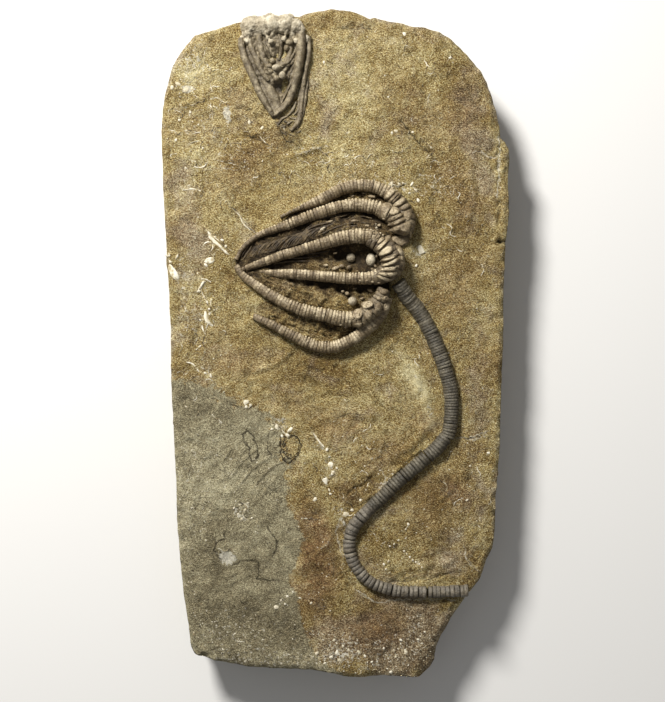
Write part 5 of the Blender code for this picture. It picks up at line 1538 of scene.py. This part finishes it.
# Threads that can be told apart are (radius, points).
THREADS = [
    (0.14, [(-40.6, 17.4), (-39.8, 14.4), (-38.5, 12), (-37.9, 9), (-38.2, 6.3), (-39.1, 3.3)]),
    (0.13, [(-38.9, 2.4), (-39.8, 0), (-38.9, -2.1)]),
    (0.14, [(-51.1, 26.4), (-49.6, 24.3), (-48.4, 21.9), (-48.8, 18.9)]),
    (0.14, [(-32.2, 41.1), (-30.8, 40.5), (-29.2, 39), (-27.4, 36.3), (-25.6, 34.2), (-23.8, 33)]),
    (0.12, [(-28.3, 38.4), (-27.8, 36.6)]),
    (0.12, [(-2.9, -33.6), (-1.6, -36), (-1.9, -38.4)]),
    (0.1, [(22.1, -52.8), (21.8, -54.6), (20.8, -56.1)]),
    (0.14, [(2.9, -47.1), (5, -49.2), (3.8, -51.6), (6.5, -51), (8.8, -53.1)]),
    (0.14, [(-37.6, 32.4), (-35.2, 30.9), (-33.1, 28.8), (-31, 27.6)]),
    (0.12, [(-34.4, 33.6), (-33.8, 30.9), (-33.1, 28.8)]),
    (0.1, [(40.4, -28.2), (43.4, -27.3), (46, -26.4)]),
    (0.14, [(-44.9, 72), (-43, 71.4), (-41.2, 72.3), (-39.4, 72.6), (-39.8, 74.4)]),
    (0.14, [(-37.6, 77.7), (-37, 75.3)]),
    (0.13, [(-38.5, 71.7), (-37, 70.5), (-37, 67.2)]),
    (0.13, [(-43, 62.7), (-40.9, 63.3), (-38.9, 63)]),
    (0.14, [(-32.9, 59.4), (-30.8, 60), (-28.6, 60), (-26.6, 60.9)]),
    (0.17, [(-42.1, 54.3), (-41.2, 52.8), (-39.4, 52.8), (-38.5, 54)]),
    (0.12, [(-34.6, 54.6), (-31.6, 54), (-28.3, 54.3)]),
    (0.13, [(-44.2, 59.7), (-41.9, 60.6), (-39.4, 60.3)]),
    (0.17, [(-23.8, 63.6), (-22.3, 61.5), (-20.2, 59.4), (-18.8, 58.2)]),
    (0.19, [(-27.4, 68.1), (-25.9, 66.9), (-24.4, 65.7)]),
    (0.13, [(-24.1, 61.5), (-22.1, 60.9), (-20.2, 61.8)]),
    (0.13, [(-47.9, 69.9), (-46, 68.7), (-46.6, 66.6)]),
    (0.14, [(-4.6, 57.9), (-2.9, 56.7), (-1.6, 54.9), (-3.4, 53.7)]),
    (0.14, [(-7, 53.1), (-4.6, 54.3), (-2.2, 54)]),
    (0.13, [(4.3, 53.4), (5.8, 55.5), (7.9, 56.1), (9.2, 54.3)]),
    (0.13, [(9.2, 54.9), (10.9, 56.7), (12.8, 55.5)]),
    (0.12, [(-10.7, 54.9), (-8.2, 54), (-6.8, 51.9)]),
    (0.13, [(18.8, 64.5), (19.9, 62.7), (18.1, 62.1)]),
    (0.094, [(42.1, 57.3), (43.9, 57.6), (45.4, 56.1), (47.2, 55.5)]),
    (0.13, [(20.6, 87.3), (21.1, 89.1), (22.3, 88.5)]),
    (0.12, [(33.1, 84.3), (34.9, 85.5), (36.1, 84.6)]),
    (0.14, [(26.6, 84.9), (27.4, 83.1), (26.8, 81.3)]),
    (0.14, [(-11.8, 12.9), (-9.8, 14.1), (-8.8, 15.9)]),
    (0.13, [(15.8, 47.7), (17.6, 47.4), (19.6, 47.1), (21.1, 48)]),
    (0.12, [(22.3, 47.1), (24.1, 46.5)]),
    (0.14, [(22.9, 45.3), (24.8, 45.3)]),
    (0.13, [(21.8, 43.2), (23.6, 42.3), (25.3, 43.2)]),
    (0.13, [(33.1, 36), (34.9, 34.5), (34.4, 32.7), (36.4, 31.8)]),
    (0.13, [(35.9, 29.1), (37.4, 27.6), (39.1, 27.9)]),
    (0.14, [(28.3, 47.1), (31.3, 45.3), (33.1, 42.6)]),
    (0.13, [(42.8, 24.3), (44.5, 22.5), (43.6, 20.1)]),
    (0.14, [(-46.6, 12.9), (-44.9, 11.1), (-45.4, 8.7)]),
    (0.14, [(-43.6, 3.9), (-41.5, 2.1), (-42.4, -0.3)]),
    (0.14, [(-47.9, 0.9), (-46, -0.9), (-47.2, -3.3)]),
    (0.12, [(-39.1, -11.1), (-37.9, -10.8), (-36.8, -11.4)]),
    (0.14, [(-27.4, -17.7), (-25.6, -18.6), (-26.6, -20.1)]),
    (0.14, [(-19.1, -24), (-16.9, -25.2), (-15.4, -27), (-14.2, -28.5)]),
    (0.14, [(13.3, -29.1), (15.4, -30.9), (17.6, -30.3)]),
    (0.13, [(31.3, -41.1), (33.4, -42.9), (32.5, -45.3)]),
    (0.14, [(-30.4, -47.1), (-28.3, -48), (-26.6, -49.5), (-27.8, -51.6), (-25.9, -53.4)]),
    (0.14, [(-35.2, -61.5), (-33.1, -62.4), (-31.3, -61.8), (-29.8, -63.6)]),
    (0.14, [(-17.8, -76.2), (-15.8, -77.1), (-14.2, -78.9)]),
    (0.1, [(38.9, -62.7), (39.1, -64.5), (40, -66.3), (41.9, -67.8)]),
    (0.086, [(10.9, -89.1), (12.8, -90.6)]),
    (0.086, [(-1.6, -84.6), (0.1, -85.8)]),
    (0.086, [(23.8, -92.1), (26.6, -91.5), (28.3, -90.6)]),
]
# Dense places are (x, y, half length, half width, threads, crumbs).
SCATTER = [
    (-40, 64, 12, 30, 40, 260), (-45, 84, 8, 8, 8, 90), (12, -95, 24, 6, 8, 420),
    (0, -72, 8, 24, 2, 70), (-24, -90, 22, 8, 4, 320), (-43, -60, 6, 30, 3, 260),
    (-30, -46, 14, 14, 2, 120), (40, -50, 9, 24, 6, 90), (30, 30, 16, 40, 10, 130),
    (6, 72, 30, 24, 16, 150), (28, -86, 9, 9, 3, 160), (10, -58, 22, 16, 6, 100),
    (2, -36, 16, 10, 6, 90), (-40, 6, 9, 30, 20, 160), (-10, 54, 22, 7, 22, 110),
    (30, 50, 14, 6, 14, 90), (20, -20, 24, 20, 6, 90), (1, -92, 7, 6, 0, 190),
]
THREAD_COLUMN, CRUMB_COLUMN = 4, 5
# Bigger chips and strings of beads are (x, y, half length, half width).
CHIPS = [
    (-5.5, -93, 0.7, 0.5), (-0.4, -89.1, 0.6, 0.5), (0.4, -92.7, 0.8, 0.6), (-1.3, -94.2, 0.6, 0.5),
    (2.2, -90.9, 0.5, 0.4), (1.1, -95.1, 0.7, 0.5), (-3.1, -96, 0.5, 0.4), (4, -92.1, 0.6, 0.4),
    (7, -92.7, 0.7, 0.5), (8.8, -93.9, 0.5, 0.4), (10.9, -95.7, 0.5, 0.4), (16.6, -98.7, 0.6, 0.5),
    (19.6, -89.1, 0.6, 0.4), (21.1, -92.7, 0.6, 0.5), (18.1, -94.2, 0.5, 0.4),
    (14.5, -91.5, 0.5, 0.4), (24.8, -89.1, 0.5, 0.4), (26.8, -86.7, 0.4, 0.4),
    (-7.3, -78, 0.5, 0.4), (-10.7, -76.5, 0.5, 0.3), (-17.8, -79.2, 0.8, 0.6),
    (-16.3, -77.1, 0.6, 0.4), (-14.5, -75.9, 0.5, 0.4), (-12.8, -74.7, 0.4, 0.3),
    (-15.1, -78.3, 0.4, 0.3), (-1.5, -45.3, 0.5, 0.4), (0.4, -37.5, 0.4, 0.3), (3.1, -51.3, 1, 0.8),
    (5, -50.1, 0.6, 0.5), (7.6, -47.1, 0.5, 0.4), (-6.1, -46.8, 0.8, 0.5), (-26.8, -17.7, 1.1, 0.8),
    (-25.6, -18.6, 0.6, 0.5), (-26.8, -19.2, 0.6, 0.5), (-17.6, -25.2, 0.9, 0.6),
    (-19.1, -25.8, 0.5, 0.4), (-14.5, -27.6, 0.8, 0.6), (-16.1, -27.9, 0.5, 0.4),
    (-28.6, -48.6, 0.5, 0.3), (-27.1, -50.1, 0.6, 0.4), (-29.2, -51.3, 0.5, 0.4),
    (-28.1, -52.8, 0.6, 0.5), (-26.2, -48, 0.4, 0.3), (-30.4, -49.5, 0.5, 0.3),
    (-25.1, -52.5, 0.4, 0.3), (21.8, -54.3, 0.5, 0.4), (21.1, -55.8, 0.4, 0.3),
    (20.6, -62.4, 0.4, 0.35), (21.4, -63.3, 0.35, 0.3), (22.3, -64.2, 0.4, 0.35),
    (23.2, -65.1, 0.35, 0.3), (24.1, -65.7, 0.4, 0.35), (25.1, -66.3, 0.35, 0.3),
    (25.9, -67.2, 0.4, 0.3), (18.8, -59.1, 0.4, 0.3), (17.6, -60.3, 0.4, 0.3),
    (16.3, -60.9, 0.35, 0.3), (14.5, -66.3, 0.5, 0.4), (15.8, -65.4, 0.5, 0.4),
    (15.1, -67.8, 0.4, 0.3), (40.4, -36.9, 0.4, 0.3), (39.4, -47.1, 0.5, 0.3),
    (45.8, -33, 0.4, 0.6), (-44.9, 75.9, 1.1, 0.9), (-47.2, 77.7, 1, 0.7), (-49, 76.8, 0.8, 0.6),
    (-37.6, 76.2, 0.3, 0.6), (-39.8, 58.5, 0.4, 0.3), (-25.9, 66.3, 0.7, 0.5),
    (-22.1, 64.5, 0.5, 0.9), (-3.4, 84.3, 0.5, 0.4), (18.1, 63.6, 0.7, 0.5), (16.9, 63, 0.5, 0.4),
    (23.2, 63.3, 0.4, 0.4), (15.8, 73.8, 0.4, 0.3), (20.6, 92.7, 0.7, 0.7), (34.4, 85.5, 0.6, 0.4),
    (16.9, 47.7, 0.9, 0.4), (19.1, 47.7, 0.8, 0.4), (20.2, 48, 0.5, 0.4), (22.9, 47.7, 0.8, 0.4),
    (24.1, 45.9, 0.7, 0.4), (24.8, 42.9, 0.8, 0.5), (22.1, 45, 0.5, 0.3), (25.3, 27.9, 1.6, 1.4),
    (24.1, 23.1, 0.5, 0.4), (-39.1, -9, 0.5, 0.3), (-37.4, -9.9, 0.8, 0.4), (-40.9, 15.6, 0.5, 0.4),
    (-39.4, 13.8, 0.5, 0.4), (-38.5, 12.3, 0.6, 0.4), (-37.9, 10.2, 0.4, 0.4),
    (-38.9, 8.1, 0.5, 0.4), (-40.6, 6.9, 0.4, 0.4), (-34, 30.9, 0.6, 0.4), (-36.1, 31.8, 0.5, 0.4),
    (-32.9, 29.1, 0.6, 0.4), (-38.9, 23.4, 0.7, 0.5), (-49.6, 24.3, 0.5, 0.5),
    (-49, 21.9, 0.4, 0.4), (-50.2, 26.1, 0.4, 0.4), (-46.9, 66.9, 0.5, 0.4),
    (-43.6, 69.3, 0.4, 0.4), (-47.9, 60.9, 0.5, 0.4), (-44.9, 52.5, 0.5, 0.3),
]
RIM_MARGIN, CROWN_MARGIN = 1.2, 2
THREAD_STEP = 0.75
chance = random.Random(11)
find_slab = top_finder([slab])


def scatter(column):
    """Seeded places in the dense patches that lie on the open face."""
    spots = []
    for area in SCATTER:
        x, y, length, width = area[:4]
        for _ in range(area[column]):
            angle, reach = chance.uniform(0, math.tau), math.sqrt(chance.random())
            u, v = length * reach * math.cos(angle), width * reach * math.sin(angle)
            spots.append((x + u, y + v))
    spots = np.array(spots)
    free = inside(spots, RIM) & ~inside(spots, CROWN_RING) & ~inside(spots, SMALL_RING)
    free &= (away_from(spots, RIM) > RIM_MARGIN) & (away_from(spots, CROWN_RING) > CROWN_MARGIN)
    return spots[free]


routes = list(THREADS)
for x, y in scatter(THREAD_COLUMN):
    heading, route = chance.uniform(0, math.tau), [(x, y)]
    for _ in range(chance.randint(3, 6)):
        heading += chance.gauss(0, 0.8)
        x += THREAD_STEP * math.cos(heading)
        y += THREAD_STEP * math.sin(heading)
        route.append((x, y))
    if (away_from(np.array(route), RIM) > RIM_MARGIN).all():
        routes.append((chance.uniform(0.05, 0.13), route))
threads = lay_strands("shell_threads", routes, find_slab, 0.1, shell)
spots = places_of(threads)[:, :2] / MM
paint(threads, "shade", np.clip(0.5 + 1.8 * grain(spots, 1.3, 3.3), 0.1, 1))
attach(threads, "root")

# Thicker branches and flakes of shell, a little proud of the face.
BRANCHES = [
    (0.5, [(-38.2, 33.6, 0.35), (-37.4, 31.8, 0.8), (-36.1, 30.3, 0.65), (-34, 28.5, 0.45),
        (-32.9, 27.3, 0.55), (-31.9, 26.4, 0.3)]),
    (0.24, [(-36.4, 30), (-38.2, 30.3), (-39.4, 29.7), (-40, 28.2)]),
    (0.22, [(-36.8, 29.7), (-36.8, 28.5), (-37.4, 27.6)]),
    (0.5, [(-41.5, 15.3, 0.3), (-40.4, 17.1, 0.55), (-39.4, 18.6, 0.5)]),
    (0.36, [(-40.4, 19.2), (-38.9, 19.1), (-37.4, 18.3)]),
    (0.5, [(-39.1, 9.6, 0.4), (-38.9, 7.8, 0.8), (-38.2, 6.3, 0.8), (-36.8, 5.1, 0.35)]),
    (0.36, [(-40, 5.4), (-39.8, 4.2), (-39.1, 2.7)]),
    (0.26, [(-41.9, -2.1), (-40.6, -0.9), (-39.4, 0.3)]),
    (0.32, [(-44.9, -5.7), (-42.8, -6.3), (-40.9, -8.7)]),
    (0.34, [(-45.4, 45.9), (-42.8, 46.2), (-40.4, 45.6)]),
    (0.18, [(-30.4, 39.6), (-28.9, 38.4), (-27.8, 36), (-25.6, 33.9)]),
    (0.34, [(-6.5, -27), (-5.2, -29.1), (-3.4, -31.2)]),
    (0.22, [(-43.6, 54), (-41.9, 52.8), (-39.4, 53.1), (-38.2, 54.6)]),
]
FLAKES = [
    [(-39.8, 24.3), (-38.9, 25.5), (-37, 26.1), (-35.9, 25.2), (-36.4, 24), (-38.5, 23.4)],
    [
        (-50.2, 24.3), (-48.8, 23.1), (-47.2, 21.3), (-46.4, 18.9), (-47.5, 18), (-49.4, 20.1),
        (-50.4, 21.9),
    ],
    [(-50.2, 27.6), (-49.4, 26.7), (-49.6, 25.5), (-50.5, 26.4)],
    [(-48.4, 24.9), (-47.5, 27), (-46.6, 27), (-47.9, 24.3)],
    [(-2.2, -35.7), (-1.3, -35.4), (-0.4, -36.1), (-0.6, -37.2), (-1.6, -37.5), (-2.5, -36.9)],
    [(-1.3, -38.4), (-0.4, -38.2), (0.1, -39.1), (-0.8, -39.9), (-1.6, -39.6)],
    [(-4.6, -40.8), (-3.4, -40.5), (-2.2, -39.9), (-2.2, -41.4), (-2.5, -43.2), (-3.4, -42)],
    [(-2.4, -43.5), (-1.8, -43.5), (-1.3, -44.4), (-1.9, -45)],
    [(-3.1, -31.5), (-2.2, -31.2), (-1.9, -32.1), (-2.5, -32.7), (-3.1, -32.4)],
    [(-2.2, -33.9), (-1.3, -33.6), (-1.3, -34.5), (-2.2, -34.5)],
    [(-15.1, -27.3), (-14.2, -25.8), (-13, -24.9), (-12.4, -25.8), (-13.7, -27)],
]
FLAKE_RISE = 0.22
branches = lay_strands("shell_branches", BRANCHES, find_slab, -0.5, shell)
flakes = fuse("shell_flakes", [
    lay_plate(f"flake_{number}", outline, FLAKE_RISE, find_slab, shell)
    for number, outline in enumerate(FLAKES)])
for piece in (branches, flakes):
    weather(piece, 0.5, 0.16)
    spots = places_of(piece)[:, :2] / MM
    paint(piece, "shade", np.clip(0.85 + 1.1 * grain(spots, 0.8, 5.3), 0.45, 1))
    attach(piece, "root")

# Crumbs are copies of one small rough ball, each squashed in its own way.
LONGEST_SPECK = 0.34
CHIP_RISE, SPECK_RISE = 0.26, 0.12
SPECK_TONES = (0.02, 0.3, 0.4, 0.5, 0.7, 0.95)
crumbs = begin("shell_crumbs", bpy.ops.mesh.primitive_ico_sphere_add, subdivisions=1, radius=1)
shape = [vert.co.copy() for vert in crumbs.data.vertices]
corners = [tuple(face.vertices) for face in crumbs.data.polygons]
points, faces, tones = [], [], []
specks = [
    (x, y, chance.uniform(0.1, LONGEST_SPECK), chance.uniform(0.08, 0.2))
    for x, y in scatter(CRUMB_COLUMN)]
for x, y, long, wide in specks + CHIPS:
    start = len(points)
    turn, level = chance.uniform(0, math.tau), find_slab(x, y)
    chip = long > LONGEST_SPECK
    tone = chance.uniform(0.65, 1.0) if chip else chance.choice(SPECK_TONES)
    rise = CHIP_RISE if chip else SPECK_RISE
    tones += [tone] * len(shape)
    c, s = math.cos(turn), math.sin(turn)
    for corner in shape:
        u = corner.x * long * chance.uniform(0.7, 1.3)
        v = corner.y * wide * chance.uniform(0.7, 1.3)
        points.append((
            (x + u * c - v * s) * MM, (y + u * s + v * c) * MM, (level + corner.z * rise) * MM))
    faces += [tuple(start + i for i in corner) for corner in corners]
crumbs.data.clear_geometry()
crumbs.data.from_pydata(points, [], faces)
paint(crumbs, "shade", tones)
crumbs.data.materials.append(shell)
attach(crumbs, "root")

# ---------------------------------------------------------------------------------- the studio
# A plain pale floor, one large soft lamp from the head end, and a camera that looks straight
# down on the slab.

floor = begin("floor", bpy.ops.mesh.primitive_plane_add, size=3)
plain = bpy.data.materials.new("plain_floor")
plain.use_nodes = True
matt = plain.node_tree.nodes["Principled BSDF"]
matt.inputs["Base Color"].default_value = (0.72, 0.71, 0.69, 1)
matt.inputs["Roughness"].default_value = 0.9
floor.data.materials.append(plain)

bpy.ops.object.light_add(type="AREA", location=(-0.26, 0.42, 0.42))
key = bpy.context.active_object
key.data.shape = "DISK"
key.data.size = 0.16
key.data.energy = 7.6
key.data.color = (1.0, 0.985, 0.955)
aim = Vector((0, 0, FACE * MM))
key.rotation_euler = (aim - key.location).to_track_quat("-Z", "Y").to_euler()
world = bpy.data.worlds.new("studio")
bpy.context.scene.world = world
world.use_nodes = True
sky = world.node_tree.nodes["Background"]
sky.inputs["Color"].default_value = (1, 1, 1, 1)
sky.inputs["Strength"].default_value = 0.25

# The camera is this far over the face, and its view takes in this height of the face.
DISTANCE, VIEW_HEIGHT, SENSOR = 400, 210.6, 36
bpy.ops.object.camera_add(location=(-0.0009, -0.0024, (FACE + DISTANCE) * MM), rotation=(0, 0, 0))
camera = bpy.context.active_object
camera.data.sensor_fit = "VERTICAL"
camera.data.sensor_height = SENSOR
camera.data.lens = SENSOR * DISTANCE / VIEW_HEIGHT
bpy.context.scene.camera = camera
bpy.context.scene.view_settings.view_transform = "Standard"

for piece in (near_columnal, middle_columnal, far_columnal, brachial):
    bpy.data.objects.remove(piece, do_unlink=True)
